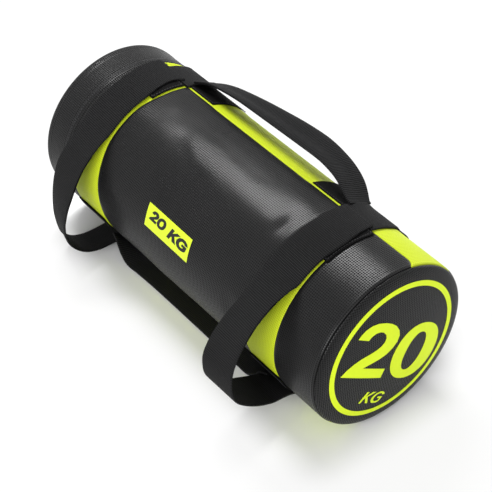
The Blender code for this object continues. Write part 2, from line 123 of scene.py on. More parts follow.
for distance, start, end, most in ((middle, *FAR_OFF, WHITER_FAR_OFF), (beside, 0.0, SHADOW_FADE, WHITER_BESIDE)):
    fade = add_node(tree, "MapRange", {"Value": distance.outputs["Value"], "From Min": start, "From Max": end,
                                       "To Min": 0.0, "To Max": most}, interpolation_type="SMOOTHSTEP")
    whiter.append(fade.outputs["Result"])
glow = add_node(tree, "Emission", {"Color": WHITE, "Strength": 1.0})
shown = add_node(tree, "MixShader", {"Fac": arithmetic(tree, "ADD", *whiter), 1: shader.outputs["BSDF"],
                                     2: glow.outputs["Emission"]})
either = add_node(tree, "MixShader", {"Fac": seen_directly(tree), 1: shader.outputs["BSDF"],
                                      2: shown.outputs["Shader"]})
tree.links.new(either.outputs["Shader"], tree.nodes["Material Output"].inputs["Surface"])
floor.data.materials.append(finish)

world = bpy.data.worlds.new("white surround")
bpy.context.scene.world = world
world.use_nodes = True
tree = world.node_tree
plain = tree.nodes["Background"]
plain.inputs["Color"].default_value = WHITE
plain.inputs["Strength"].default_value = AMBIENT_STRENGTH
white = add_node(tree, "Background", {"Color": WHITE, "Strength": 1.0})
either = add_node(tree, "MixShader", {"Fac": seen_directly(tree), 1: plain.outputs["Background"],
                                      2: white.outputs["Background"]})
tree.links.new(either.outputs["Shader"], tree.nodes["World Output"].inputs["Surface"])


# The camera: above the printed end and the user's side, with a long lens, as in the photograph.
# Its two angles, its distance and the point that it looks at were fitted to the photograph.
LOOK_AT = Vector((0.00567, 0.0, 0.07657))
CAMERA_AZIMUTH = math.radians(51.785)
CAMERA_HEIGHT_ANGLE = math.radians(42.029)
CAMERA_DISTANCE = 1.8408
deselect_all()
bpy.ops.object.camera_add()
camera = bpy.context.object
camera.name = "photo_camera"
camera.data.lens = 113.84
camera.data.sensor_width = 36.0
towards_camera = Vector((
    math.sin(CAMERA_AZIMUTH) * math.cos(CAMERA_HEIGHT_ANGLE),
    -math.cos(CAMERA_AZIMUTH) * math.cos(CAMERA_HEIGHT_ANGLE),
    math.sin(CAMERA_HEIGHT_ANGLE),
))
camera.location = LOOK_AT + towards_camera * CAMERA_DISTANCE
camera.rotation_euler = towards_camera.to_track_quat("Z", "Y").to_euler()
bpy.context.scene.camera = camera
bpy.context.scene.view_settings.view_transform = "Standard"


# The lamps: four softboxes. The long one over the bag is mirrored as the band of shine along the top, the one on the
# user's side lights the front, a weak one lights the printed end, and one behind lights the floor there.
LAMPS_AIM = Vector((0.0, 0.0, 0.1))
for name, location, size, watts in (
    ("softbox_over", (-0.75, 0.28, 1.45), (1.0, 0.30), 27.0),
    ("softbox_front", (1.15, -0.90, 1.40), (1.1, 1.0), 5.0),
    ("softbox_side", (0.45, -1.60, 0.66), (1.2, 0.9), 22.0),
    ("softbox_back", (0.10, 1.65, 0.48), (1.6, 0.7), 10.0),
):
    deselect_all()
    bpy.ops.object.light_add(type="AREA", location=location)
    lamp = bpy.context.object
    lamp.name = name
    lamp.data.shape = "RECTANGLE"
    lamp.data.size, lamp.data.size_y = size
    lamp.data.energy = watts
    lamp.rotation_euler = (Vector(location) - LAMPS_AIM).to_track_quat("Z", "Y").to_euler()


# The cover: synthetic leather, sewn from black and lime panels into a tube with a round cap at each end, tight over
# the padding. It is laid out as a grid whose lines follow the seams, rolled up, and puffed out by a cloth simulation.
RADIUS = 0.105
AXIS_HEIGHT = 0.1066
UNDERSIDE = 0.0056
CAP_SEAM = 0.2520
CAP_FACE_RADIUS = 0.101
CAP_FACE_START = 0.2570
LEFT_CAP_FULLER = 0.0036
CAP_SWELL = 0.0060
ROW_TURN = 2.5
COLUMN_STEP = 0.0045
STRIP_TOP = (-52.5, -17.5)
STRIP_BOTTOM = (127.5, 162.5)
LONG_SEAMS = (*STRIP_TOP, *STRIP_BOTTOM)
STRIP_END = -0.2150
BELT_LEFT = (-0.2006, -0.1520)
BELT_RIGHT = (0.1355, 0.1864)
SEAM_REACH = 0.0011
SEAM_DEPTH = 0.0009
SEAM_ROW_REACH = 0.6


def pick(piece):
    deselect_all()
    piece.select_set(True)
    bpy.context.view_layer.objects.active = piece
    return piece


def edit_all(operator, **settings):
    """The operator, used on all of the active mesh in edit mode."""
    bpy.ops.object.mode_set(mode="EDIT")
    bpy.ops.mesh.select_all(action="SELECT")
    operator(**settings)
    bpy.ops.object.mode_set(mode="OBJECT")


def finish_shape(piece, name, kind, **settings):
    """A modifier with its settings, applied."""
    pick(piece)
    modifier = piece.modifiers.new(name, kind)
    for key, value in settings.items():
        setattr(modifier, key, value)
    bpy.ops.object.modifier_apply(modifier=name)


def read_off(pairs, where):
    """The value that a line through the pairs has at this place."""
    return float(np.interp(where, [at for at, value in pairs], [value for at, value in pairs]))


def vertex_places(mesh):
    places = np.empty(len(mesh.vertices) * 3)
    mesh.vertices.foreach_get("co", places)
    return places.reshape(-1, 3)


def on_ring(x, angle, reach):
    turned = math.radians(angle)
    return Vector((x, -reach * math.sin(turned), AXIS_HEIGHT + reach * math.cos(turned)))


def smooth_step(value, low, high):
    share = min(max((value - low) / (high - low), 0.0), 1.0)
    return share * share * (3.0 - 2.0 * share)


# the columns along the side: the place of each, and how far it stands out of the bag's round
side_columns = {
    -0.2480: 0.0, -0.2220: 0.0, -0.2130: 0.0, -0.2100: 0.0001, -0.2086: 0.0001, -0.2075: -0.0008, -0.2062: 0.0007,
    -0.2050: 0.0011, -0.2038: 0.0007, -0.2025: 0.0, 0.2480: 0.0,
}
for seam in (STRIP_END, *BELT_LEFT, *BELT_RIGHT):
    side_columns[seam] = 0.0 if seam == BELT_LEFT[0] else -SEAM_DEPTH
    for beside in (seam - SEAM_REACH, seam + SEAM_REACH):
        side_columns.setdefault(round(beside, 5), 0.0)
places = sorted(side_columns)
for low, high in zip(places[:-1], places[1:]):
    parts = max(1, round((high - low) / COLUMN_STEP))
    for step in range(1, parts):
        side_columns[low + (high - low) * step / parts] = 0.0
# the edge of each cap, from the side over its seam to the face; the left one is the fuller of the two
right_edge_profile = [
    (0.2490, 0.1049), (0.2500, 0.1048), (0.2509, 0.1045), (0.2516, 0.1039), (CAP_SEAM, 0.1015), (0.2525, 0.1035),
    (0.2534, 0.1034), (0.2545, 0.1027), (0.2556, 0.1014), (0.2564, 0.0997), (0.2571, 0.0972),
]
left_edge_profile = [
    (0.2490, 0.1051), (0.2500, 0.1053), (0.2509, 0.1053), (0.2515, 0.1053), (CAP_SEAM, 0.1051), (0.2525, 0.1053),
    (0.2545, 0.1053), (0.2566, 0.1051), (0.2585, 0.1042), (0.2599, 0.1024), (0.2606, 0.0995),
]
face_radii = [0.0950, 0.0920, 0.0870, 0.0810, 0.0750, 0.0690, 0.0630, 0.0570, 0.0510, 0.0450, 0.0390, 0.0330,
              0.0270, 0.0210, 0.0150, 0.0090, 0.0]
end_profiles = {}
for side, edge_profile, start_x in (("left", left_edge_profile, CAP_FACE_START + LEFT_CAP_FULLER),
                                    ("right", right_edge_profile, CAP_FACE_START)):
    face_profile = [(start_x + CAP_SWELL * (1.0 - (face / CAP_FACE_RADIUS) ** 2), face) for face in face_radii]
    end_profiles[side] = edge_profile + face_profile
columns = [(-x, r) for x, r in reversed(end_profiles["left"])]
columns += [(x, RADIUS + side_columns[x]) for x in sorted(side_columns)]
columns += end_profiles["right"]

# the rows round the bag: every 2.5 degrees, with a closer one on both sides of each long seam
rows = [ROW_TURN * step - 180.0 for step in range(145)]
for seam in LONG_SEAMS:
    rows += [seam - SEAM_ROW_REACH, seam + SEAM_ROW_REACH]
rows = sorted(rows)

deselect_all()
bpy.ops.mesh.primitive_grid_add(x_subdivisions=len(columns) - 1, y_subdivisions=len(rows) - 1, size=2.0)
cover = bpy.context.object
cover.name = "cover"
mesh = cover.data
cells_x, cells_y = len(columns) - 1, len(rows) - 1
spots = vertex_places(mesh)
column_of = np.rint((spots[:, 0] + 1.0) / 2.0 * cells_x).astype(int)
row_of = np.rint((spots[:, 1] + 1.0) / 2.0 * cells_y).astype(int)

# the edge of the left belt isn't quite square to the bag: it runs lower on the user's side
BELT_DRIFT = ((-60.0, 0.0), (-30.0, 0.0056), (2.0, 0.0052), (20.0, 0.0004), (50.0, -0.0007), (79.0, 0.0034),
              (104.0, 0.0090), (125.0, 0.0090), (150.0, 0.0))
# a slight dent beside the right band and the swell next to it: place, angle, how wide along and round, depth
DENTS = ((0.1175, 21.0, 0.007, 6.0, 0.0013), (0.1010, 17.0, 0.009, 8.0, -0.0007))
# how the strips widen just before the caps: degrees at each of their seams, with the side that it goes to
FLARES = ((STRIP_TOP[1], 3.2), (STRIP_TOP[0], -3.2), (STRIP_BOTTOM[0], 4.5), (STRIP_BOTTOM[1], -4.5))
layout = []
for column, row in zip(column_of, row_of):
    x, reach = columns[column]
    angle = rows[row]
    if abs(x) < CAP_SEAM:
        if x > STRIP_END and min(abs(angle - seam) for seam in LONG_SEAMS) < 0.01:
            reach -= SEAM_DEPTH
        for dent_x, dent_angle, length, spread, depth in DENTS:
            reach -= depth * math.exp(-((x - dent_x) / length) ** 2 - ((angle - dent_angle) / spread) ** 2)
        x += np.interp(x, (-0.190, BELT_LEFT[1], -0.110), (0.0, 1.0, 0.0)) * read_off(BELT_DRIFT, angle)
        x += 0.0052 * max(0.0, 1.0 - abs(x - STRIP_END) / 0.009)
    turned = angle
    for seam, flare in FLARES:
        widened = smooth_step(x, 0.2440, 0.2518) * flare * (x < 0.2524)
        turned += widened * max(0.0, 1.0 - abs(angle - seam) / 9.0)
    # at its left end the upper strip is narrower on the user's side
    narrowed = (1.0 - smooth_step(x, -0.2010, -0.1960)) * smooth_step(x, -0.2290, -0.2150)
    turned -= 6.6 * narrowed * max(0.0, 1.0 - abs(angle - STRIP_TOP[1]) / 14.0)
    spot = on_ring(x, turned, reach)
    spot.z = max(spot.z, UNDERSIDE)
    layout.append(spot)
for vertex, spot in zip(mesh.vertices, layout):
    vertex.co = spot

# the flat pattern in metres, for the grain: along the bag and round it, and on the caps measured from their middle
# over the curve of the edge
grain = mesh.uv_layers.active
cap_run = {}
for profile in end_profiles.values():
    cap_run[profile[-1]] = 0.0
    for outer, inner in zip(reversed(profile[:-1]), reversed(profile[1:])):
        cap_run[outer] = cap_run[inner] + math.dist(outer, inner)
# the panels, with the CAD node that each stands for
PANELS = {
    "front_panel": "panel_front", "rear_panel": "panel_rear", "top_strip": "strip_top",
    "bottom_strip": "strip_bottom", "left_belt_front": "belt_left_front", "left_belt_rear": "belt_left_rear",
    "right_belt_front": "belt_right_front", "right_belt_rear": "belt_right_rear", "left_end_panel": "end_panel_left",
    "right_end_panel_front": "end_panel_right_front", "right_end_panel_rear": "end_panel_right_rear",
    "left_cap": "cap_left", "right_cap": "cap_right",
}
panel_names = list(PANELS)


def panel_at(x, angle):
    if abs(x) > CAP_SEAM:
        return "right_cap" if x > 0.0 else "left_cap"
    if x > STRIP_END and STRIP_TOP[0] < angle < STRIP_TOP[1]:
        return "top_strip"
    if x > STRIP_END and STRIP_BOTTOM[0] < angle < STRIP_BOTTOM[1]:
        return "bottom_strip"
    side = "front" if STRIP_TOP[1] < angle < STRIP_BOTTOM[0] else "rear"
    if x < BELT_LEFT[0]:
        return "left_end_panel"
    if x < BELT_LEFT[1]:
        return "left_belt_" + side
    if x < BELT_RIGHT[0]:
        return side + "_panel"
    if x < BELT_RIGHT[1]:
        return "right_belt_" + side
    return "right_end_panel_" + side


for face in mesh.polygons:
    corners = [mesh.loops[index].vertex_index for index in face.loop_indices]
    middle_x = sum(columns[column_of[v]][0] for v in corners) / 4.0
    middle_angle = sum(rows[row_of[v]] for v in corners) / 4.0
    face.material_index = panel_names.index(panel_at(middle_x, middle_angle))
    face.use_smooth = True
    for index in face.loop_indices:
        v = mesh.loops[index].vertex_index
        x, reach = columns[column_of[v]]
        if abs(middle_x) > CAP_SEAM:
            run = cap_run[(abs(x), reach)]
            turned = math.radians(rows[row_of[v]])
            grain.data[index].uv = (run * math.sin(turned), run * math.cos(turned))
        else:
            grain.data[index].uv = (x, rows[row_of[v]] * math.pi / 180.0 * RADIUS)
for name in panel_names:
    mesh.materials.append(bpy.data.materials.new(name))
pick(cover)
edit_all(bpy.ops.mesh.remove_doubles, threshold=0.00001)
edit_all(bpy.ops.mesh.normals_make_consistent, inside=False)

# The puckers: the cloth is a little longer than the seams that hold it, and the filling presses it outwards.
PUFF_STEPS = 20
PUFF_LIMIT = 0.0006
PUFF_SHARE = 0.5
EASING_ROUNDS = 14
CAP_GROUND = 0.2485
CAP_EDGE_END = 0.2580
start = vertex_places(mesh)
held = cover.vertex_groups.new(name="held by seams")
for vertex in mesh.vertices:
    x = vertex.co.x
    under_left = BELT_LEFT[0] - 0.004 < x < BELT_LEFT[1] + 0.001
    under_right = BELT_RIGHT[0] - 0.001 < x < BELT_RIGHT[1] + 0.001
    if under_left or under_right or CAP_GROUND < abs(x) < CAP_EDGE_END or vertex.co.z < UNDERSIDE + 0.0002:
        held.add([vertex.index], 1.0, "REPLACE")
cloth = cover.modifiers.new("puff", "CLOTH")
settings = cloth.settings
settings.quality = 5
settings.mass = 0.3
settings.tension_stiffness = 25.0
settings.compression_stiffness = 25.0
settings.shear_stiffness = 8.0
settings.bending_stiffness = 0.35
settings.vertex_group_mass = "held by seams"
settings.pin_stiffness = 1.0
settings.use_pressure = True
settings.uniform_pressure_force = 3.0
settings.shrink_min = -0.022
settings.effector_weights.gravity = 0.0
cloth.collision_settings.use_collision = False
cloth.point_cache.frame_start = 1
cloth.point_cache.frame_end = PUFF_STEPS
for step in range(1, PUFF_STEPS + 1):
    bpy.context.scene.frame_set(step)
evaluated = cover.evaluated_get(bpy.context.evaluated_depsgraph_get())
moved = vertex_places(evaluated.data) - start
cover.modifiers.remove(cloth)
bpy.context.scene.frame_set(1)
radial = start.copy()
radial[:, 0] = 0.0
radial[:, 2] -= AXIS_HEIGHT
lengths = np.maximum(np.linalg.norm(radial, axis=1), 1e-6)
out = radial / lengths[:, None]
outwards = (moved * out).sum(axis=1)
# the even swelling is taken off, so that what is left is the puckers
swelling = np.zeros(len(outwards))
for place_x in np.unique(np.round(start[:, 0], 4)):
    there = np.abs(start[:, 0] - place_x) < 0.00006
    swelling[there] = np.median(outwards[there])
rise = PUFF_SHARE * (outwards - swelling)
# the cover is taut: its sharp creases are eased, and the caps and the ground of the sewn patches lie smooth
ends = np.array([tuple(edge.vertices) for edge in mesh.edges])
degree = np.bincount(ends.ravel(), minlength=len(rise))
round_axis = np.degrees(np.arctan2(-radial[:, 1], radial[:, 2]))
on_strip = (np.abs(round_axis + 35.0) < 19.0) | (np.abs(round_axis - 145.0) < 19.0)
flat_ground = (np.abs(start[:, 0]) > CAP_GROUND) | (on_strip & ((start[:, 0] < -0.095) | (start[:, 0] > 0.077)))
for _ in range(EASING_ROUNDS):
    rise[flat_ground] = 0.0
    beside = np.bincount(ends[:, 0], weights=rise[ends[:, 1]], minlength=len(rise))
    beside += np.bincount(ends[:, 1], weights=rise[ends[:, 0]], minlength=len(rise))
    rise = 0.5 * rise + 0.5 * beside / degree
rise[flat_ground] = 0.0
rise = np.clip(rise, -PUFF_LIMIT, PUFF_LIMIT)
settled = start + out * rise[:, None]
settled[:, 2] = np.maximum(settled[:, 2], UNDERSIDE)
mesh.vertices.foreach_set("co", settled.ravel())
mesh.update()
finish_shape(cover, "finer", "SUBSURF", levels=1, render_levels=1, uv_smooth="NONE")
cover.vertex_groups.clear()
outside = BVHTree.FromPolygons([v.co.copy() for v in mesh.vertices], [tuple(p.vertices) for p in mesh.polygons])


# The grain: fine square pits pressed into the leather in straight rows, 2.6 mm apart in the black and 2.5 mm in the
# lime, and coloured darker in the pits as painted shade. Where it is handled, the leather is rubbed duller and lighter
# in soft patches, and so is the webbing.
def new_group(name, numbers_in, masks_out):
    """A node group that takes a place and some numbers, and puts out masks, with its two ends."""
    group = bpy.data.node_groups.new(name, "ShaderNodeTree")
    group.interface.new_socket("Place", in_out="INPUT", socket_type="NodeSocketVector")
    for label in numbers_in:
        group.interface.new_socket(label, in_out="INPUT", socket_type="NodeSocketFloat")
    for label in masks_out:
        group.interface.new_socket(label, in_out="OUTPUT", socket_type="NodeSocketFloat")
    return group, group.nodes.new("NodeGroupInput").outputs, group.nodes.new("NodeGroupOutput").inputs


def mixed(tree, share, first, second, blend="MIX"):
    """The first colour turned into the second by the share; each is three numbers or a socket."""
    share_in, first_in, second_in, colour_out = 0, 6, 7, 2
    colours = {socket: colour if isinstance(colour, bpy.types.NodeSocket) else (*colour, 1.0)
               for socket, colour in ((first_in, first), (second_in, second))}
    node = add_node(tree, "Mix", {share_in: share, **colours}, data_type="RGBA", blend_type=blend)
    return node.outputs[colour_out]


def emboss(tree, shader, height, depth, strength=1.0):
    bump = add_node(tree, "Bump", {"Height": height, "Distance": depth, "Strength": strength})
    tree.links.new(bump.outputs["Normal"], shader.inputs["Normal"])


square_grain, given, put_out = new_group("square grain", ("Pitch",), ("Height", "Pits"))
split = add_node(square_grain, "SeparateXYZ", {"Vector": given["Place"]})
waves = []
for axis_name in ("X", "Y"):
    steps = arithmetic(square_grain, "DIVIDE", split.outputs[axis_name], given["Pitch"])
    waves.append(arithmetic(square_grain, "COSINE", arithmetic(square_grain, "MULTIPLY", steps, 2.0 * math.pi)))
pits = add_node(square_grain, "MapRange", {"Value": arithmetic(square_grain, "ADD", *waves), "From Min": 0.0,
                                           "From Max": 0.45}, interpolation_type="SMOOTHSTEP").outputs["Result"]
crumple = add_node(square_grain, "TexNoise", {"Vector": given["Place"], "Scale": 900.0, "Detail": 2.0})
height = arithmetic(square_grain, "SUBTRACT", 1.0, pits)
height = arithmetic(square_grain, "MULTIPLY_ADD", crumple.outputs["Fac"], 0.02, height)
square_grain.links.new(height, put_out["Height"])
square_grain.links.new(pits, put_out["Pits"])

handling, given, put_out = new_group("handling", (), ("Rubbed",))
cloudy = add_node(handling, "TexNoise", {"Vector": given["Place"], "Scale": 18.0, "Detail": 4.0, "Roughness": 0.6})
soft = add_node(handling, "MapRange", {"Value": cloudy.outputs["Fac"], "From Min": 0.35, "From Max": 0.70})
handling.links.new(soft.outputs["Result"], put_out["Rubbed"])


def leather(name, colour, pit_shade, rubbed_colour, roughness, dull_pits, pitch, depth, specular):
    finish, tree, shader = new_finish(name, {"Specular IOR Level": specular})
    place = add_node(tree, "TexCoord").outputs
    pressed = add_node(tree, "Group", {"Place": place["UV"], "Pitch": pitch}, node_tree=square_grain).outputs
    rubbed = add_node(tree, "Group", {"Place": place["Object"]}, node_tree=handling).outputs["Rubbed"]
    on_top = mixed(tree, rubbed, colour, rubbed_colour)
    # the pits get a darker colour: painted shade in the pits
    tree.links.new(mixed(tree, pressed["Pits"], on_top, pit_shade), shader.inputs["Base Color"])
    rough = add_node(tree, "MapRange", {"Value": rubbed, "To Min": roughness, "To Max": roughness + 0.07})
    dull = arithmetic(tree, "MULTIPLY_ADD", pressed["Pits"], dull_pits, rough.outputs["Result"])
    tree.links.new(dull, shader.inputs["Roughness"])
    emboss(tree, shader, pressed["Height"], depth)
    return finish


BLACK = (0.0036, 0.0036, 0.0039)
# the pit colours are darker than the leather's own: painted shade in the pits
BLACK_PAINTED_PIT_SHADE = (0.0006, 0.0006, 0.0007)
BLACK_RUBBED = (0.0052, 0.0052, 0.0055)
LIME = (0.520, 0.625, 0.018)
LIME_PAINTED_PIT_SHADE = (0.410, 0.495, 0.012)
LIME_RUBBED = (0.550, 0.655, 0.026)
black_leather = leather("black leather, square grain", BLACK, BLACK_PAINTED_PIT_SHADE, BLACK_RUBBED,
                        roughness=0.27, dull_pits=0.90, pitch=0.0026, depth=0.00050, specular=0.28)
lime_leather = leather("lime leather", LIME, LIME_PAINTED_PIT_SHADE, LIME_RUBBED,
                       roughness=0.46, dull_pits=0.20, pitch=0.0025, depth=0.00010, specular=0.12)

# each panel is cut free along its seams and gets its own thickness
pick(cover)
edit_all(bpy.ops.mesh.separate, type="MATERIAL")
SKIN = 0.0012
for panel in list(bpy.context.selected_objects):
    own = panel.data.materials
    name = panel_names[panel.data.polygons[0].material_index] if len(own) > 1 else own[0].name
    panel.name = name
    is_lime = "strip" in name or "belt" in name
    panel.data.materials.clear()
    panel.data.materials.append(lime_leather if is_lime else black_leather)
    finish_shape(panel, "wall", "SOLIDIFY", thickness=SKIN, offset=-1.0)
    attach(panel, "bag")
    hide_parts(PANELS[name])


# The filling: four sand pouches of coarse liner in a row, a foam sleeve round them and a foam pad at each end.
# The foam keeps the cover round, and the weight of the sand presses it flat on the underside.
SLEEVE_WALL = 0.0098
PAD_SWELL = 0.0030
PAD_EDGE = 0.0995


def lying_roll(name, low_x, high_x, reach, sides, ends):
    """A cylinder that lies along the bag's axis."""
    deselect_all()
    bpy.ops.mesh.primitive_cylinder_add(
        vertices=sides, radius=reach, depth=high_x - low_x, end_fill_type=ends,
        location=((low_x + high_x) / 2.0, 0.0, AXIS_HEIGHT), rotation=(0.0, math.radians(90.0), 0.0))
    roll = bpy.context.object
    roll.name = name
    bpy.ops.object.transform_apply(location=True, rotation=True, scale=True)
    return roll


cross_weave, given, put_out = new_group("cross weave", ("Scale",), ("Crossed",))
bands = []
for direction in ("X", "Z"):
    threads = add_node(cross_weave, "TexWave", {"Vector": given["Place"], "Scale": given["Scale"], "Distortion": 0.4},
                       wave_type="BANDS", bands_direction=direction)
    bands.append(threads.outputs["Fac"])
cross_weave.links.new(arithmetic(cross_weave, "MULTIPLY", *bands), put_out["Crossed"])


def woven(name, colour, light_colour, pitch, depth, roughness):
    finish, tree, shader = new_finish(name, {"Roughness": roughness})
    crossed = add_node(tree, "Group", {"Place": add_node(tree, "TexCoord").outputs["Object"],
                                       "Scale": 1.0 / pitch / 3.0}, node_tree=cross_weave).outputs["Crossed"]
    tree.links.new(mixed(tree, crossed, colour, light_colour), shader.inputs["Base Color"])
    emboss(tree, shader, crossed, depth)
    return finish


liner = woven("pouch liner", (0.20, 0.21, 0.23), (0.30, 0.31, 0.33), 0.0015, 0.0003, 0.85)
foam = woven("closed-cell foam", (0.50, 0.50, 0.47), (0.60, 0.60, 0.56), 0.0030, 0.0002, 0.9)
for number in range(1, 5):
    low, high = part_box("sand_pouch_%d" % number)
    reach = (high[2] - low[2]) / 2.0 - 0.0004
    pouch = lying_roll("pouch_%d" % number, low[0], high[0], reach, 48, "NGON")
    finish_shape(pouch, "edge", "BEVEL", width=0.016, segments=4, limit_method="ANGLE",
                 angle_limit=math.radians(60.0))
    bpy.ops.object.shade_smooth()
    for vertex in pouch.data.vertices:
        spot = vertex.co
        sag = 1.0 - 0.012 * math.sin(9.0 * math.atan2(spot.y, spot.z - AXIS_HEIGHT) + number * 1.7)
        spot.y *= sag
        spot.z = AXIS_HEIGHT + (spot.z - AXIS_HEIGHT) * sag * 0.985
        spot.z = max(spot.z, low[2])
    pouch.data.materials.append(liner)
    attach(pouch, "bag")
    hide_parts("sand_pouch_%d" % number)
for name, node in (("foam_pad_left", "end_pad_left"), ("foam_pad_right", "end_pad_right")):
    low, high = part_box(node)
    pad = lying_roll(name, low[0], high[0], (high[1] - low[1]) / 2.0, 48, "TRIFAN")
    edit_all(bpy.ops.mesh.subdivide, number_cuts=7)
    for vertex in pad.data.vertices:
        spot = vertex.co
        away = math.hypot(spot.y, spot.z - AXIS_HEIGHT)
        if abs(spot.x) > 0.2380:
            spot.x += math.copysign(PAD_SWELL * (1.0 - (away / CAP_FACE_RADIUS) ** 2), spot.x)
            if away > PAD_EDGE:
                spot.y *= PAD_EDGE / away
                spot.z = AXIS_HEIGHT + (spot.z - AXIS_HEIGHT) * PAD_EDGE / away
        spot.z = max(spot.z, low[2])
    pick(pad)
    bpy.ops.object.shade_smooth_by_angle(angle=math.radians(50.0))
    pad.data.materials.append(foam)
    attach(pad, "bag")
    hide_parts(node)
low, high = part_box("padding_sleeve")
sleeve = lying_roll("foam_sleeve", low[0], high[0], (high[1] - low[1]) / 2.0, 96, "NOTHING")
edit_all(bpy.ops.mesh.subdivide, number_cuts=6)
for vertex in sleeve.data.vertices:
    vertex.co.z = max(vertex.co.z, low[2])
finish_shape(sleeve, "wall", "SOLIDIFY", thickness=SLEEVE_WALL, offset=-1.0)
bpy.ops.object.shade_smooth_by_angle(angle=math.radians(40.0))
sleeve.data.materials.append(foam)
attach(sleeve, "bag")
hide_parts("padding_sleeve")


# The print on the right cap: a lime ring with the weight inside it, in a film a fifth of a millimetre thick.
# The letters are drawn as plain outlines in shares of the bag's radius, and laid on the swell of the cap.
PRINT_LIFT = 0.00008
PRINT_THICK = 0.00022
PRINT_TURN = math.radians(-32.0)
PRINT_START = (-0.7025, 0.0456)
LETTER_CUT = 0.04
TWO = ((0.000, 0.000), (0.633, 0.000), (0.620, 0.117), (0.258, 0.120), (0.350, 0.178), (0.446, 0.240), (0.512, 0.300),
       (0.556, 0.370), (0.580, 0.454), (0.566, 0.530), (0.520, 0.590), (0.440, 0.640), (0.352, 0.662), (0.262, 0.668),
       (0.150, 0.655), (0.070, 0.622), (0.012, 0.570), (-0.020, 0.512), (-0.034, 0.456), (0.122, 0.452),
       (0.142, 0.500), (0.180, 0.540), (0.235, 0.560), (0.290, 0.557), (0.345, 0.530), (0.378, 0.490),
       (0.384, 0.440), (0.362, 0.390), (0.318, 0.342), (0.250, 0.290), (0.160, 0.228), (0.090, 0.160), (0.035, 0.085))
K_SHAPE = ((0.000, 0.000), (0.031, 0.000), (0.046, 0.052), (0.066, 0.070), (0.110, 0.000), (0.150, 0.000),
           (0.092, 0.088), (0.190, 0.150), (0.142, 0.150), (0.056, 0.090), (0.073, 0.150), (0.042, 0.150))
G_SHAPE = ((0.178, 0.084), (0.104, 0.084), (0.098, 0.063), (0.144, 0.063), (0.138, 0.036), (0.110, 0.023),
           (0.076, 0.023), (0.045, 0.044), (0.042, 0.078), (0.060, 0.110), (0.094, 0.128), (0.134, 0.128),
           (0.156, 0.110), (0.190, 0.114), (0.174, 0.138), (0.138, 0.152), (0.090, 0.150), (0.042, 0.128),
           (0.008, 0.080), (0.010, 0.036), (0.036, 0.006), (0.080, -0.003), (0.126, 0.001), (0.160, 0.018))


def oval(middle, half_width, half_height, lean, squareness, count=44):
    points = []
    for step in range(count):
        turned = 2.0 * math.pi * step / count
        c, s = math.cos(turned), math.sin(turned)
        across = math.copysign(abs(c) ** squareness, c) * half_width
        up = math.copysign(abs(s) ** squareness, s) * half_height
        points.append((middle[0] + across + lean * up, middle[1] + up))
    return points


def flat_letters(name, outlines):
    """A flat mesh in the XY plane filled between closed outlines, cut fine enough to follow a curved surface."""
    curve = bpy.data.curves.new(name, "CURVE")
    curve.dimensions = "2D"
    curve.fill_mode = "BOTH"
    for outline in outlines:
        line = curve.splines.new("POLY")
        line.points.add(len(outline) - 1)
        for point, (x, y) in zip(line.points, outline):
            point.co = (x, y, 0.0, 1.0)
        line.use_cyclic_u = True
    piece = bpy.data.objects.new(name, curve)
    bpy.context.collection.objects.link(piece)
    pick(piece)
    bpy.ops.object.convert(target="MESH")
    piece = bpy.context.object
    edit_all(bpy.ops.mesh.remove_doubles, threshold=0.00001)
    work = bmesh.new()
    work.from_mesh(piece.data)
    spans = [(min(v.co[axis] for v in work.verts), max(v.co[axis] for v in work.verts)) for axis in (0, 1)]
    for (low, high), side in zip(spans, (Vector((1.0, 0.0, 0.0)), Vector((0.0, 1.0, 0.0)))):
        parts = int((high - low) / LETTER_CUT) + 1
        for step in range(1, parts):
            bmesh.ops.bisect_plane(
                work, geom=work.verts[:] + work.edges[:] + work.faces[:],
                plane_co=side * (low + (high - low) * step / parts), plane_no=side)
    work.to_mesh(piece.data)
    work.free()
    return piece


def print_film(piece, thick):
    finish_shape(piece, "film", "SOLIDIFY", thickness=thick, offset=1.0)
    bpy.ops.object.shade_smooth_by_angle(angle=math.radians(35.0))


fine_blotches, given, put_out = new_group("fine blotches", (), ("Blotch",))
blotch = add_node(fine_blotches, "TexNoise", {"Vector": given["Place"], "Scale": 240.0, "Detail": 3.0})
fine_blotches.links.new(blotch.outputs["Fac"], put_out["Blotch"])


def blotched(name, colour, colour_2, roughness):
    """Ink or thread: nearly even in colour, with a fine unevenness."""
    finish, tree, shader = new_finish(name, {"Roughness": roughness, "Specular IOR Level": 0.2})
    blotch = add_node(tree, "Group", {"Place": add_node(tree, "TexCoord").outputs["Object"]},
                      node_tree=fine_blotches).outputs["Blotch"]
    tree.links.new(mixed(tree, blotch, colour, colour_2), shader.inputs["Base Color"])
    emboss(tree, shader, blotch, 0.00005, 0.5)
    return finish


cap_ink = blotched("lime cap print", (0.78, 0.96, 0.014), (0.72, 0.91, 0.012), 0.5)
plate_ink = blotched("lime plate print", (0.56, 0.69, 0.026), (0.51, 0.64, 0.022), 0.5)
dark_ink = blotched("dark letter print", (0.010, 0.010, 0.010), (0.015, 0.015, 0.015), 0.5)


def on_cap(y, z, above):
    """The place above the printed cap that lies straight in front of this point."""
    hit, normal, face, far = outside.ray_cast(Vector((0.30, y, z)), Vector((-1.0, 0.0, 0.0)))
    return hit + normal * above


def lay_on_cap(piece, turn, origin):
    """Flat x and y are shares of the bag's radius, turned and moved on the round cap."""
    for vertex in piece.data.vertices:
        x, y, flat = vertex.co
        across = origin[0] + x * math.cos(turn) - y * math.sin(turn)
        up = origin[1] + x * math.sin(turn) + y * math.cos(turn)
        vertex.co = on_cap(across * RADIUS, AXIS_HEIGHT + up * RADIUS, PRINT_LIFT)


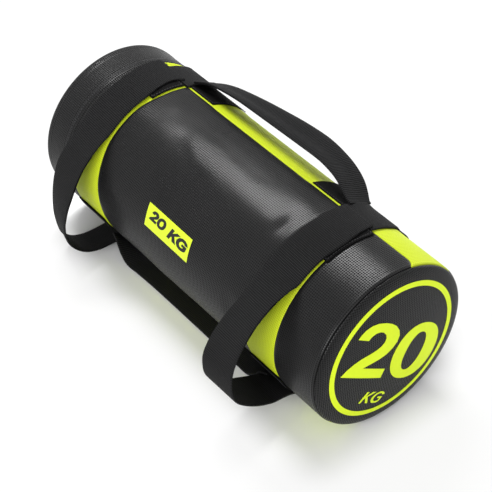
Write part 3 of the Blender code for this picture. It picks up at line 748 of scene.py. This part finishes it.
ZERO = [oval((0.984, 0.335), 0.350, 0.352, -0.06, 0.92), oval((0.966, 0.334), 0.142, 0.240, -0.06, 0.92)]
unit = [[(x + 0.526, y - 0.336) for x, y in K_SHAPE], [(x + 0.696, y - 0.336) for x, y in G_SHAPE]]
ring = [oval((0.0, 0.0), reach, reach, 0.0, 1.0, 120) for reach in (0.838, 0.777)]
printed = (("print_number", [TWO, *ZERO], PRINT_START, PRINT_TURN), ("print_unit", unit, PRINT_START, PRINT_TURN),
           ("print_ring", ring, (0.0, 0.0), 0.0))
for name, outlines, origin, turn in printed:
    piece = flat_letters(name, outlines)
    lay_on_cap(piece, turn, origin)
    print_film(piece, PRINT_THICK)
    piece.data.materials.append(cap_ink)
    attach(piece, "bag")


# The plate on the front panel: a lime rectangle printed round the bag's side, with the weight in black on it.
# Its letters stand on a line that runs down a little towards the printed end, and lean to the right.
PLATE_X = (-0.497, 0.281)
PLATE_ANGLES = (62.3, 79.0)
LETTER_TILT = 3.4


def on_cover(x, angle, above):
    """The place above the finished cover where a line from the bag's axis comes out."""
    away = on_ring(x, angle, RADIUS + 0.03)
    axis = Vector((x, 0.0, AXIS_HEIGHT))
    hit, normal, face, far = outside.ray_cast(away, (axis - away).normalized())
    return hit + normal * above


def lay_on_side(piece, above):
    """Flat x becomes the place along the bag and flat y the angle round it, both as shares of the radius."""
    for vertex in piece.data.vertices:
        vertex.co = on_cover(vertex.co.x * RADIUS, math.degrees(-vertex.co.y), above)


plate_outline = [
    (PLATE_X[0], -math.radians(PLATE_ANGLES[0])), (PLATE_X[0] + 0.004, -math.radians(PLATE_ANGLES[1] - 0.4)),
    (PLATE_X[1], -math.radians(PLATE_ANGLES[1] + 0.4)), (PLATE_X[1] - 0.004, -math.radians(PLATE_ANGLES[0] + 0.6)),
]
plate = flat_letters("print_plate", [plate_outline])
lay_on_side(plate, PRINT_LIFT)
print_film(plate, PRINT_THICK)
plate.data.materials.append(plate_ink)
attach(plate, "bag")


BOLD_TWO = ((0.00, 0.00), (0.82, 0.00), (0.82, 0.24), (0.44, 0.24), (0.62, 0.38), (0.77, 0.53), (0.81, 0.70),
            (0.73, 0.88), (0.56, 0.98), (0.38, 1.00), (0.20, 0.96), (0.07, 0.84), (0.01, 0.65), (0.31, 0.62),
            (0.34, 0.72), (0.40, 0.76), (0.48, 0.73), (0.50, 0.65), (0.43, 0.53), (0.22, 0.35), (0.04, 0.18))
BOLD_K = ((0.000, 0.000), (0.052, 0.000), (0.062, 0.040), (0.080, 0.056), (0.110, 0.000), (0.176, 0.000),
          (0.120, 0.086), (0.208, 0.150), (0.142, 0.150), (0.076, 0.098), (0.089, 0.150), (0.038, 0.150))
BOLD_G = ((0.196, 0.088), (0.108, 0.088), (0.100, 0.057), (0.136, 0.057), (0.132, 0.043), (0.110, 0.035),
          (0.082, 0.036), (0.063, 0.052), (0.061, 0.076), (0.076, 0.101), (0.102, 0.115), (0.134, 0.114),
          (0.153, 0.097), (0.206, 0.104), (0.188, 0.136), (0.147, 0.153), (0.094, 0.152), (0.041, 0.128),
          (0.006, 0.080), (0.008, 0.035), (0.037, 0.004), (0.086, -0.005), (0.135, 0.000), (0.180, 0.022))


def place_letter(outline, left, bottom_angle, scale_x, scale_y, lean):
    """An outline moved onto the plate and slanted, on a line of letters that runs down to the right."""
    slope = math.tan(math.radians(LETTER_TILT))
    placed = []
    for x, y in outline:
        across = x * scale_x + y * scale_y * lean
        placed.append((left + across, -math.radians(bottom_angle) + y * scale_y - slope * x * scale_x))
    return placed


letters = [
    place_letter(BOLD_TWO, -0.443, 72.2, 0.154, 0.134, 0.33),
    place_letter(oval((0.0, 0.5), 0.50, 0.53, 0.0, 0.92), -0.246, 72.9, 0.142, 0.128, 0.33),
    place_letter(oval((0.0, 0.5), 0.20, 0.27, 0.0, 0.92), -0.246, 72.9, 0.142, 0.128, 0.33),
    place_letter(BOLD_K, -0.108, 74.0, 0.92, 0.91, 0.16),
    place_letter(BOLD_G, 0.048, 74.6, 0.96, 0.93, 0.05),
]
plate_letters = flat_letters("print_plate_letters", letters)
lay_on_side(plate_letters, PRINT_LIFT + PRINT_THICK + 0.00003)
print_film(plate_letters, 0.00015)
plate_letters.data.materials.append(dark_ink)
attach(plate_letters, "bag")


# The webbing: 50 mm ribbed black nylon, 2.8 mm thick with round edges. It is laid along the bag as a flat grid between
# the lines that its two edges follow, and then given its thickness.
WEB_WIDTH = 0.050
WEB = 0.0028
RIB_PITCH = 0.0024
THREAD_PITCH = 0.0020
WEB_DUST = (0.0015, 0.0015, 0.0015)


def run_along(points):
    """How far along the line each of its points lies."""
    lengths = [0.0]
    for a, b in zip(points[:-1], points[1:]):
        lengths.append(lengths[-1] + (b - a).length)
    return lengths


def even_line(points, count):
    """The points joined by a smooth line and set out again at even steps."""
    fine = []
    for index in range(len(points) - 1):
        before = points[max(index - 1, 0)]
        here, there = points[index], points[index + 1]
        after = points[min(index + 2, len(points) - 1)]
        for step in range(16):
            t = step / 16.0
            fine.append(0.5 * ((2.0 * here) + (there - before) * t
                               + (2.0 * before - 5.0 * here + 4.0 * there - after) * t * t
                               + (3.0 * here - before - 3.0 * there + after) * t ** 3))
    fine.append(points[-1].copy())
    lengths = run_along(fine)
    line = []
    for step in range(count):
        wanted = lengths[-1] * step / (count - 1)
        index = min(max(int(np.searchsorted(lengths, wanted)), 1), len(fine) - 1)
        span = lengths[index] - lengths[index - 1]
        share = 0.0 if span < 1e-9 else (wanted - lengths[index - 1]) / span
        line.append(fine[index - 1].lerp(fine[index], share))
    return line


rib_weave, given, put_out = new_group("rib weave", (), ("Height", "Threads"))
split = add_node(rib_weave, "SeparateXYZ", {"Vector": given["Place"]})
ridges = []
for axis_name, pitch in (("Y", RIB_PITCH), ("X", THREAD_PITCH)):
    turns = arithmetic(rib_weave, "MULTIPLY", split.outputs[axis_name], math.pi / pitch)
    ridges.append(arithmetic(rib_weave, "ABSOLUTE", arithmetic(rib_weave, "SINE", turns)))
# the knots, where both threads stand highest; the webbing is coloured lighter there and darker in the grooves, as
# painted shade
knots = arithmetic(rib_weave, "MULTIPLY", *ridges)
fuzz = add_node(rib_weave, "TexNoise", {"Vector": given["Place"], "Scale": 1600.0, "Detail": 2.0})
height = arithmetic(rib_weave, "MULTIPLY_ADD", knots, 0.5, ridges[0])
height = arithmetic(rib_weave, "MULTIPLY_ADD", fuzz.outputs["Fac"], 0.25, height)
rib_weave.links.new(height, put_out["Height"])
rib_weave.links.new(knots, put_out["Threads"])


def nylon(name, dark, light, depth, roughness):
    finish, tree, shader = new_finish(name, {"Roughness": roughness, "Specular IOR Level": 0.06})
    place = add_node(tree, "TexCoord").outputs
    weave = add_node(tree, "Group", {"Place": place["UV"]}, node_tree=rib_weave).outputs
    rubbed = add_node(tree, "Group", {"Place": place["Object"]}, node_tree=handling).outputs["Rubbed"]
    # the colour is lighter on the thread tops and darker in the grooves between them: painted shade in the weave
    tint = mixed(tree, weave["Threads"], dark, light)
    tree.links.new(mixed(tree, rubbed, tint, WEB_DUST, "ADD"), shader.inputs["Base Color"])
    emboss(tree, shader, weave["Height"], depth)
    return finish


black_nylon = nylon("black ribbed webbing", (0.0003, 0.0003, 0.0004), (0.0240, 0.0240, 0.0248), 0.00060, 0.70)
# the patches' webbing: the same nylon coloured darker, as painted shade from the straps that lie over it
patch_nylon_painted_shade = nylon("patch webbing with painted shade", (0.0002, 0.0002, 0.0002), (0.0080, 0.0080, 0.0084), 0.00050, 0.85)


def lay_webbing(name, left_edge, right_edge, thickness, crown=None, across=8):
    """Webbing whose middle surface runs between two edge lines; crown gives the swell of each row, if any."""
    count = len(left_edge)
    deselect_all()
    bpy.ops.mesh.primitive_grid_add(x_subdivisions=across, y_subdivisions=count - 1, size=2.0)
    strap = bpy.context.object
    strap.name = name
    grid = strap.data
    run = run_along([(left + right) / 2.0 for left, right in zip(left_edge, right_edge)])
    where = {}
    for vertex in grid.vertices:
        u = (vertex.co.x + 1.0) / 2.0
        row = round((vertex.co.y + 1.0) / 2.0 * (count - 1))
        where[vertex.index] = (u, row)
    for loop in grid.loops:
        u, row = where[loop.vertex_index]
        width = (right_edge[row] - left_edge[row]).length
        grid.uv_layers.active.data[loop.index].uv = ((u - 0.5) * width, run[row])
    for vertex in grid.vertices:
        u, row = where[vertex.index]
        spot = left_edge[row].lerp(right_edge[row], u)
        if crown:
            spot = spot + crown(row / (count - 1), u)
        vertex.co = spot
    pick(strap)
    edit_all(bpy.ops.mesh.normals_make_consistent, inside=False)
    finish_shape(strap, "body", "SOLIDIFY", thickness=thickness, offset=0.0, use_even_offset=True)
    finish_shape(strap, "edge", "BEVEL", width=thickness * 0.42, segments=3, limit_method="ANGLE",
                 angle_limit=math.radians(55.0))
    bpy.ops.object.shade_smooth()
    strap.data.materials.append(black_nylon)
    return strap


# The stitches: short tight dashes of dark or grey thread, each a small capsule let into the cloth. The hem of the
# left end panel is sewn with a row of them, and so are the patches and the cut ends of the bands.
STITCH_LENGTH = 0.0026
STITCH_THICK = 0.00042
STITCH_STEP = 0.0036
HEM_X = -0.2185


def stitch_row(name, spots, normals, thread):
    """One mesh of dashes along the line of spots, each lying on its surface."""
    bpy.ops.mesh.primitive_uv_sphere_add(segments=6, ring_count=4, radius=1.0)
    seed = bpy.context.object
    shape = [v.co.copy() for v in seed.data.vertices]
    faces = [tuple(p.vertices) for p in seed.data.polygons]
    bpy.data.objects.remove(seed, do_unlink=True)
    lengths = run_along(spots)
    all_points, all_faces = [], []
    number = int(lengths[-1] / STITCH_STEP)
    for step in range(number):
        wanted = (step + 0.5) * lengths[-1] / number
        index = min(max(int(np.searchsorted(lengths, wanted)), 1), len(spots) - 1)
        share = (wanted - lengths[index - 1]) / max(lengths[index] - lengths[index - 1], 1e-9)
        middle = spots[index - 1].lerp(spots[index], share)
        along = (spots[index] - spots[index - 1]).normalized()
        up = normals[index - 1].lerp(normals[index], share).normalized()
        side = up.cross(along).normalized()
        first = len(all_points)
        for v in shape:
            all_points.append(middle + along * (v.z * STITCH_LENGTH / 2.0) + side * (v.x * STITCH_THICK)
                              + up * (v.y * STITCH_THICK * 0.7))
        all_faces += [tuple(first + i for i in face) for face in faces]
    stitches = bpy.data.meshes.new(name)
    stitches.from_pydata(all_points, [], all_faces)
    piece = bpy.data.objects.new(name, stitches)
    bpy.context.collection.objects.link(piece)
    for polygon in stitches.polygons:
        polygon.use_smooth = True
    stitches.materials.append(thread)
    return piece


def join_rows(name, rows_of_stitches):
    """The rows joined to one piece, which rides on the bag."""
    deselect_all()
    for row in rows_of_stitches:
        row.select_set(True)
    piece = rows_of_stitches[0]
    bpy.context.view_layer.objects.active = piece
    bpy.ops.object.join()
    piece.name = name
    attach(piece, "bag")


def straight_out(x, angle):
    return (on_ring(x, angle, 1.0) - Vector((x, 0.0, AXIS_HEIGHT))).normalized()


dark_grey_thread = blotched("stitching thread", (0.034, 0.034, 0.036), (0.050, 0.050, 0.052), 0.6)
dark_thread = blotched("dark stitching thread", (0.008, 0.008, 0.009), (0.014, 0.014, 0.015), 0.6)
pale_thread = blotched("grey stitching thread", (0.045, 0.045, 0.048), (0.060, 0.060, 0.064), 0.6)


hem_angles = [2.0 * step - 178.0 for step in range(178)]
hem_spots = [on_cover(HEM_X, angle, 0.0002) for angle in hem_angles]
hem = stitch_row("stitches_left_hem", hem_spots, [straight_out(HEM_X, angle) for angle in hem_angles], pale_thread)
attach(hem, "bag")


# The patches: squares of the same webbing, sewn flat under the bands and under the roots of the long handles to
# spread their pull over the cover. They are coloured a darker black than the bands, as painted shade from the straps
# over them, and show as a dark rim beside the straps.
BAND_LEFT = -0.177991
BAND_RIGHT = 0.161212
HALF_WEB = WEB_WIDTH / 2.0
PATCH_REACH = 0.1063
PATCH_THICK = 0.0019
ROOT_REACH = 0.1059
ROOT_THICK = 0.0010
PEEK = 0.005
STITCH_INSET = 0.0024


def lay_patch(name, x_range, angle_range, stand_for, reach=PATCH_REACH, thick=PATCH_THICK):
    steps = max(8, int(abs(angle_range[1] - angle_range[0]) / 2.5)) + 1

    def place(x, angle, up):
        """On the cover, and under the bag pressed flat against the underside; up is 0 in the patch, 1 on top."""
        spot = on_ring(x, angle, reach + up * thick / 2.0)
        spot.z = max(spot.z, UNDERSIDE - 0.0003 - (1.0 + up) * thick / 2.0)
        return spot

    angles = np.linspace(angle_range[0], angle_range[1], steps)
    edges = [[place(x, angle, 0.0) for angle in angles] for x in x_range]
    patch = lay_webbing(name, *edges, thick)
    # the patch gets the darker webbing: painted shade from the strap over it
    patch.data.materials[0] = patch_nylon_painted_shade
    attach(patch, "bag")
    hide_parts(stand_for)
    turn_in = math.degrees(STITCH_INSET / RADIUS)
    low_angle, high_angle = angle_range[0] + turn_in, angle_range[1] - turn_in
    low_x, high_x = x_range[0] + STITCH_INSET, x_range[1] - STITCH_INSET
    sewn_lines = [[(high_x, angle) for angle in np.linspace(low_angle, high_angle, steps)]]
    sewn_lines += [[(x, angle) for x in np.linspace(low_x, high_x, 8)] for angle in (high_angle, low_angle)]
    sewn = []
    for number, line in enumerate(sewn_lines):
        spots = [place(x, angle, 1.0) for x, angle in line]
        normals = [straight_out(x, angle) for x, angle in line]
        sewn.append(stitch_row("%s_stitches_%d" % (name, number + 1), spots, normals, dark_grey_thread))
    join_rows(name + "_stitches", sewn)


lay_patch("patch_top_left", (BAND_LEFT - HALF_WEB + 0.001, BAND_LEFT + HALF_WEB + 0.0044), (-15.5, 10.0),
          "anchor_patch_top_left")
lay_patch("patch_top_right", (BAND_RIGHT - HALF_WEB + 0.001, BAND_RIGHT + HALF_WEB + PEEK), (-15.5, 21.0),
          "anchor_patch_top_right")
for side, band_x in (("left", BAND_LEFT), ("right", BAND_RIGHT)):
    lay_patch("patch_bottom_" + side, (band_x - HALF_WEB + 0.001, band_x + HALF_WEB + PEEK), (112.0, 190.0),
              "anchor_patch_bottom_" + side)
for place, side, x_range, angle_range, reach, thick in (
    ("top", "left", (BAND_LEFT + 0.0060, -0.1000), (-51.5, -18.6), ROOT_REACH, ROOT_THICK),
    ("top", "right", (0.0820, BAND_RIGHT - 0.0060), (-51.5, -18.6), ROOT_REACH, ROOT_THICK),
    ("bottom", "left", (BAND_LEFT + HALF_WEB + PEEK + 0.0003, -0.1000), (131.5, 158.5), PATCH_REACH, PATCH_THICK),
    ("bottom", "right", (0.0820, BAND_RIGHT - HALF_WEB + 0.0007), (131.5, 158.5), PATCH_REACH, PATCH_THICK),
):
    lay_patch("handle_patch_%s_%s" % (place, side), x_range, angle_range, "base_patch_%s_%s" % (place, side), reach,
              thick)


# The bands and their loops: each band is two lengths of webbing, sewn over one another on top of the bag and under it,
# that stand off it on its long sides, where they hang as loops to grip. The two edges of each length are followed on
# their own, because the loops hang twisted.
BAND_REACH = 0.1091
TOP_END = -19.0
REAR_TOP_END = -15.8


def floor_clear(spot, half):
    spot.z = max(spot.z, half + 0.0001)
    return spot


def edge_line(x_of, polar):
    """Edge line from (angle, distance of the outer face as a share of the radius)."""
    line = []
    for angle, reach in polar:
        line.append(floor_clear(on_ring(x_of(angle), angle, reach * RADIUS - WEB / 2.0), WEB / 2.0))
    return line


OVER = 1.0531
FRONT_RIM = {
    "right": (
        ((44, 1.053), (52, 1.083), (60, 1.114), (68, 1.177), (76, 1.290), (84, 1.420), (92, 1.526), (100, 1.556),
         (106, 1.542), (112, 1.482), (118, 1.395), (124, 1.306), (130, 1.234), (136, 1.165), (142, 1.100),
         (148, 1.062), (154, OVER)),
        ((42, 1.062), (46, 1.120), (52, 1.189), (60, 1.262), (68, 1.335), (76, 1.400), (84, 1.478), (92, 1.530),
         (100, 1.548), (106, 1.535), (112, 1.474), (120, 1.370), (128, 1.255), (133, 1.150), (138, 1.078),
         (144, OVER), (154, OVER)),
    ),
    "left": (
        ((46, 1.053), (54, 1.062), (62, 1.090), (70, 1.140), (78, 1.196), (86, 1.232), (94, 1.268), (102, 1.312),
         (110, 1.368), (118, 1.424), (124, 1.461), (130, 1.452), (136, 1.380), (141, 1.290), (146, 1.200),
         (151, 1.120), (157, 1.062), (162, OVER)),
        ((46, 1.062), (54, 1.110), (62, 1.158), (70, 1.212), (78, 1.262), (86, 1.320), (94, 1.405), (102, 1.482),
         (110, 1.512), (117, 1.490), (124, 1.430), (130, 1.335), (135, 1.225), (140, 1.128), (146, 1.065),
         (152, OVER), (162, OVER)),
    ),
}
REAR_LIFT = ((0.985, 0.375), (1.055, 0.220), (1.130, 0.050), (1.235, -0.140), (1.350, -0.340), (1.445, -0.530),
             (1.499, -0.700), (1.460, -0.860), (1.330, -0.965), (1.150, -1.001), (0.900, -1.001), (0.620, -1.001),
             (0.350, -1.001))
LOOP_X = {"right": (1.270, 1.750), "left": (-1.955, -1.465)}
BAND_X = {"left": BAND_LEFT, "right": BAND_RIGHT}
UNDER = 172.0
# over the top the bands stray a little from their circle, the more so behind the strip, where they lean to the left
STRAY = {
    "left": (((-19.0, -0.2078), (-12.0, -0.2075), (-7.0, -0.2066), (-2.0, -0.2051), (12.0, -0.2030), (38.0, -0.2030)),
             ((-19.0, -0.1560), (-14.0, -0.1587), (-8.0, -0.1596), (-1.0, -0.1579), (5.0, -0.1554), (14.0, -0.1530),
              (38.0, -0.1530))),
    "right": (((-19.0, 0.1350), (-13.0, 0.1363), (-2.0, 0.1374), (8.0, 0.1380), (20.0, 0.1378), (38.0, 0.1362)),
              ((-19.0, 0.1812), (-13.5, 0.1826), (-4.0, 0.1860), (5.0, 0.1882), (12.0, 0.1880), (20.0, 0.1866),
               (38.0, 0.1862))),
}
REAR_MIDDLE = {
    "left": ((-70.0, -0.1940), (-62.0, -0.1950), (-55.0, -0.1915), (-47.0, -0.1830), (-35.0, -0.1735),
             (-22.0, -0.1698), (-15.8, -0.1690)),
    "right": ((-70.0, 0.1420), (-62.0, 0.1415), (-55.0, 0.1425), (-47.0, 0.1510), (-35.0, 0.1570),
              (-22.0, 0.1590), (-15.8, 0.1592)),
}
REAR_REACH = 0.10645


def cut_end_stitches(name, side):
    """Two rows of stitches across the upper band, where its end is sewn down over the lower one."""
    sewn = []
    for number, angle in enumerate((TOP_END + 1.3, TOP_END + 4.2)):
        low, high = read_off(STRAY[side][0], angle) + 0.002, read_off(STRAY[side][1], angle) - 0.002
        spots = [on_ring(x, angle, BAND_REACH + WEB / 2.0) for x in np.linspace(low, high, 12)]
        normals = [(spot - Vector((spot.x, 0.0, AXIS_HEIGHT))).normalized() for spot in spots]
        sewn.append(stitch_row("%s_%d" % (name, number + 1), spots, normals, dark_thread))
    join_rows(name, sewn)


for side in ("left", "right"):
    middle = BAND_X[side]

    def edge_x(loop_x, sign):
        def at(angle):
            band_x = middle + sign * HALF_WEB
            out = smooth_step(angle, 40.0, 80.0) * (1.0 - smooth_step(angle, 122.0, 150.0))
            return band_x + (loop_x - band_x) * out
        return at

    # the upper length: from its cut end on top, over the user's side, down as the front loop and under the bag
    rims = []
    for sign, loop_share, polar, stray in zip((-1.0, 1.0), LOOP_X[side], FRONT_RIM[side], STRAY[side]):
        over_top = [on_ring(read_off(stray, angle), angle, BAND_REACH) for angle in np.linspace(TOP_END, 38.0, 24)]
        around = edge_line(edge_x(loop_share * RADIUS, sign), polar)
        x = middle + sign * HALF_WEB
        below = [floor_clear(on_ring(x, angle, BAND_REACH), WEB / 2.0) for angle in (164.0, 168.0, UNDER)]
        rims.append(even_line(over_top + around + below, 170))
    front = lay_webbing("%s_band_and_front_loop" % side, rims[0], rims[1], WEB)
    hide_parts("band_top_" + side, "band_bottom_" + side, "loop_front_" + side)
    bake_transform(front)
    cut_end_stitches("stitches_%s_band" % side, side)

    # the lower length: from under that end, over the rear edge of the strip, down as the rear loop and under the bag
    rear_rims = []
    slipped = REAR_MIDDLE[side][1][1] - middle
    for sign in (-1.0, 1.0):
        top = []
        for angle in np.linspace(REAR_TOP_END, -62.0, 20):
            top.append(on_ring(read_off(REAR_MIDDLE[side], angle) + sign * HALF_WEB, angle, REAR_REACH))
        hang = []
        for index, (y, z) in enumerate(REAR_LIFT):
            still = slipped * (1.0 - smooth_step(index, 0.0, 8.0))
            swing = sign * 0.020 * math.sin(math.pi * min(index / 8.0, 1.0))
            x = middle + still + sign * HALF_WEB
            hang.append(floor_clear(Vector((x, (y + swing) * RADIUS, AXIS_HEIGHT + z * RADIUS)), WEB / 2.0))
        x = middle + sign * HALF_WEB
        under = [floor_clear(on_ring(x, angle, BAND_REACH), WEB / 2.0) for angle in (185.0, 178.0, UNDER)]
        rear_rims.append(even_line(top + hang + under, 160))
    near_rim = 0.0 if side == "right" else 1.0

    def raised_rim(along, u):
        """The rim beside the long handle is lifted a little, because the handle's end is tucked in under it."""
        there = 1.0 - smooth_step(abs(along - 0.082), 0.045, 0.080)
        return Vector((0.0, 0.574, 0.819)) * (0.0016 * there * (1.0 - smooth_step(abs(u - near_rim), 0.0, 0.26)))

    rear = lay_webbing("%s_band_and_rear_loop" % side, rear_rims[0], rear_rims[1], WEB, crown=raised_rim, across=12)
    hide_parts("band_top_" + side, "band_bottom_" + side, "loop_rear_" + side)
    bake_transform(rear)


# The long handles: one length of webbing along the top behind the strip and one along the bottom in front, sewn in
# at both bands and standing off the bag between them. Each is laid whole and then parted in the middle.
HALF_SPAN = 0.236
# a route gives the place along the bag as a share of the half span, the distance from the axis and the shift across
# as shares of the radius, the roll in degrees, and how far the two edges are slipped along each other
TOP_ROUTE = (
    (-0.657, 1.0232, 0.0, 0.0, 0.0072), (-0.638, 1.0350, 0.0, -1.0, 0.0060), (-0.596, 1.078, 0.0, -3.5, 0.0030),
    (-0.534, 1.124, 0.0, -4.5, 0.0), (-0.445, 1.161, 0.0, -5.0, 0.0), (-0.311, 1.198, 0.0, -7.5, 0.0),
    (-0.156, 1.224, 0.0, -12.0, 0.0), (0.000, 1.245, 0.0, -16.0, 0.0), (0.156, 1.255, 0.0, -17.0, 0.0),
    (0.289, 1.240, 0.0, -12.0, 0.0), (0.378, 1.205, 0.0, -8.0, 0.0), (0.445, 1.155, 0.0, -4.0, 0.0),
    (0.498, 1.090, 0.0, -2.0, 0.0020), (0.530, 1.045, 0.0, -1.0, 0.0040), (0.548, 1.0260, 0.0, 0.0, 0.0050),
    (0.562, 1.0232, 0.0, 0.0, 0.0052),
)
BOTTOM_ROUTE = (
    (-0.660, 1.043, 0.0, 0.0, 0.0), (-0.614, 1.064, 0.010, -8.0, 0.0), (-0.565, 1.108, 0.045, -24.0, 0.0),
    (-0.512, 1.141, 0.077, -35.0, 0.0), (-0.423, 1.142, 0.100, -35.0, 0.0), (-0.267, 1.138, 0.116, -35.0, 0.0),
    (0.000, 1.137, 0.118, -35.0, 0.0), (0.222, 1.138, 0.116, -35.0, 0.0), (0.347, 1.140, 0.110, -35.0, 0.0),
    (0.423, 1.141, 0.104, -35.0, 0.0), (0.480, 1.138, 0.094, -34.0, 0.0), (0.520, 1.120, 0.070, -28.0, 0.0),
    (0.556, 1.088, 0.042, -22.0, 0.0), (0.584, 1.056, 0.014, -10.0, 0.0), (0.640, 1.043, 0.0, 0.0, 0.0),
)


def handle_edges(route, angle, count):
    turned = math.radians(angle)
    out = Vector((0.0, -math.sin(turned), math.cos(turned)))
    across = Vector((0.0, -math.cos(turned), -math.sin(turned)))
    low_line, high_line = [], []
    for share, reach, shift, roll, slant in route:
        centre = Vector((share * HALF_SPAN, 0.0, AXIS_HEIGHT)) + out * (reach * RADIUS) + across * (shift * RADIUS)
        tilt = math.radians(roll)
        wide = (across * math.cos(tilt) + out * math.sin(tilt)) * HALF_WEB
        slip = Vector((slant, 0.0, 0.0))
        low_line.append(centre - wide - slip)
        high_line.append(centre + wide + slip)
    lines = even_line(low_line, count), even_line(high_line, count)
    for line in lines:
        for spot in line:
            floor_clear(spot, WEB / 2.0)
    return lines, out


def part_in_the_middle(strap, name):
    """The strap is copied, and each copy keeps one side of the middle and gets a closed end there."""
    pick(strap)
    bpy.ops.object.duplicate()
    other = bpy.context.object
    for half, keep_left, ending in ((strap, True, "_left_half"), (other, False, "_right_half")):
        pick(half)
        half.name = name + ending
        edit_all(bpy.ops.mesh.bisect, plane_co=(0.0, 0.0, 0.0), plane_no=(1.0, 0.0, 0.0), use_fill=True,
                 clear_outer=keep_left, clear_inner=not keep_left)
        bpy.ops.object.shade_smooth_by_angle(angle=math.radians(70.0))
    return strap, other


(rear_edge, front_edge), away = handle_edges(TOP_ROUTE, -35.0, 141)


def top_crease(along, u):
    """The strap is cupped along its length, with a shallow valley between its two raised sides."""
    much = math.sin(math.pi * along) ** 1.2
    return away * (0.0022 * much * (math.cos(3.0 * math.pi * (u - 0.5)) * -0.6))


top_handle = lay_webbing("top_handle", rear_edge, front_edge, WEB, crown=top_crease, across=14)
left_half, right_half = part_in_the_middle(top_handle, "top_handle")
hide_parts("handle_top", "handle_root_top_left")
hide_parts("handle_top", "handle_root_top_right")
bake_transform(left_half)
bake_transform(right_half)

(front_edge, rear_edge), away = handle_edges(BOTTOM_ROUTE, 145.0, 131)
bottom_handle = lay_webbing("bottom_handle", front_edge, rear_edge, WEB)
left_half, right_half = part_in_the_middle(bottom_handle, "bottom_handle")
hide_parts("handle_bottom", "handle_root_bottom_left")
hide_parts("handle_bottom", "handle_root_bottom_right")
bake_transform(left_half)
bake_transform(right_half)
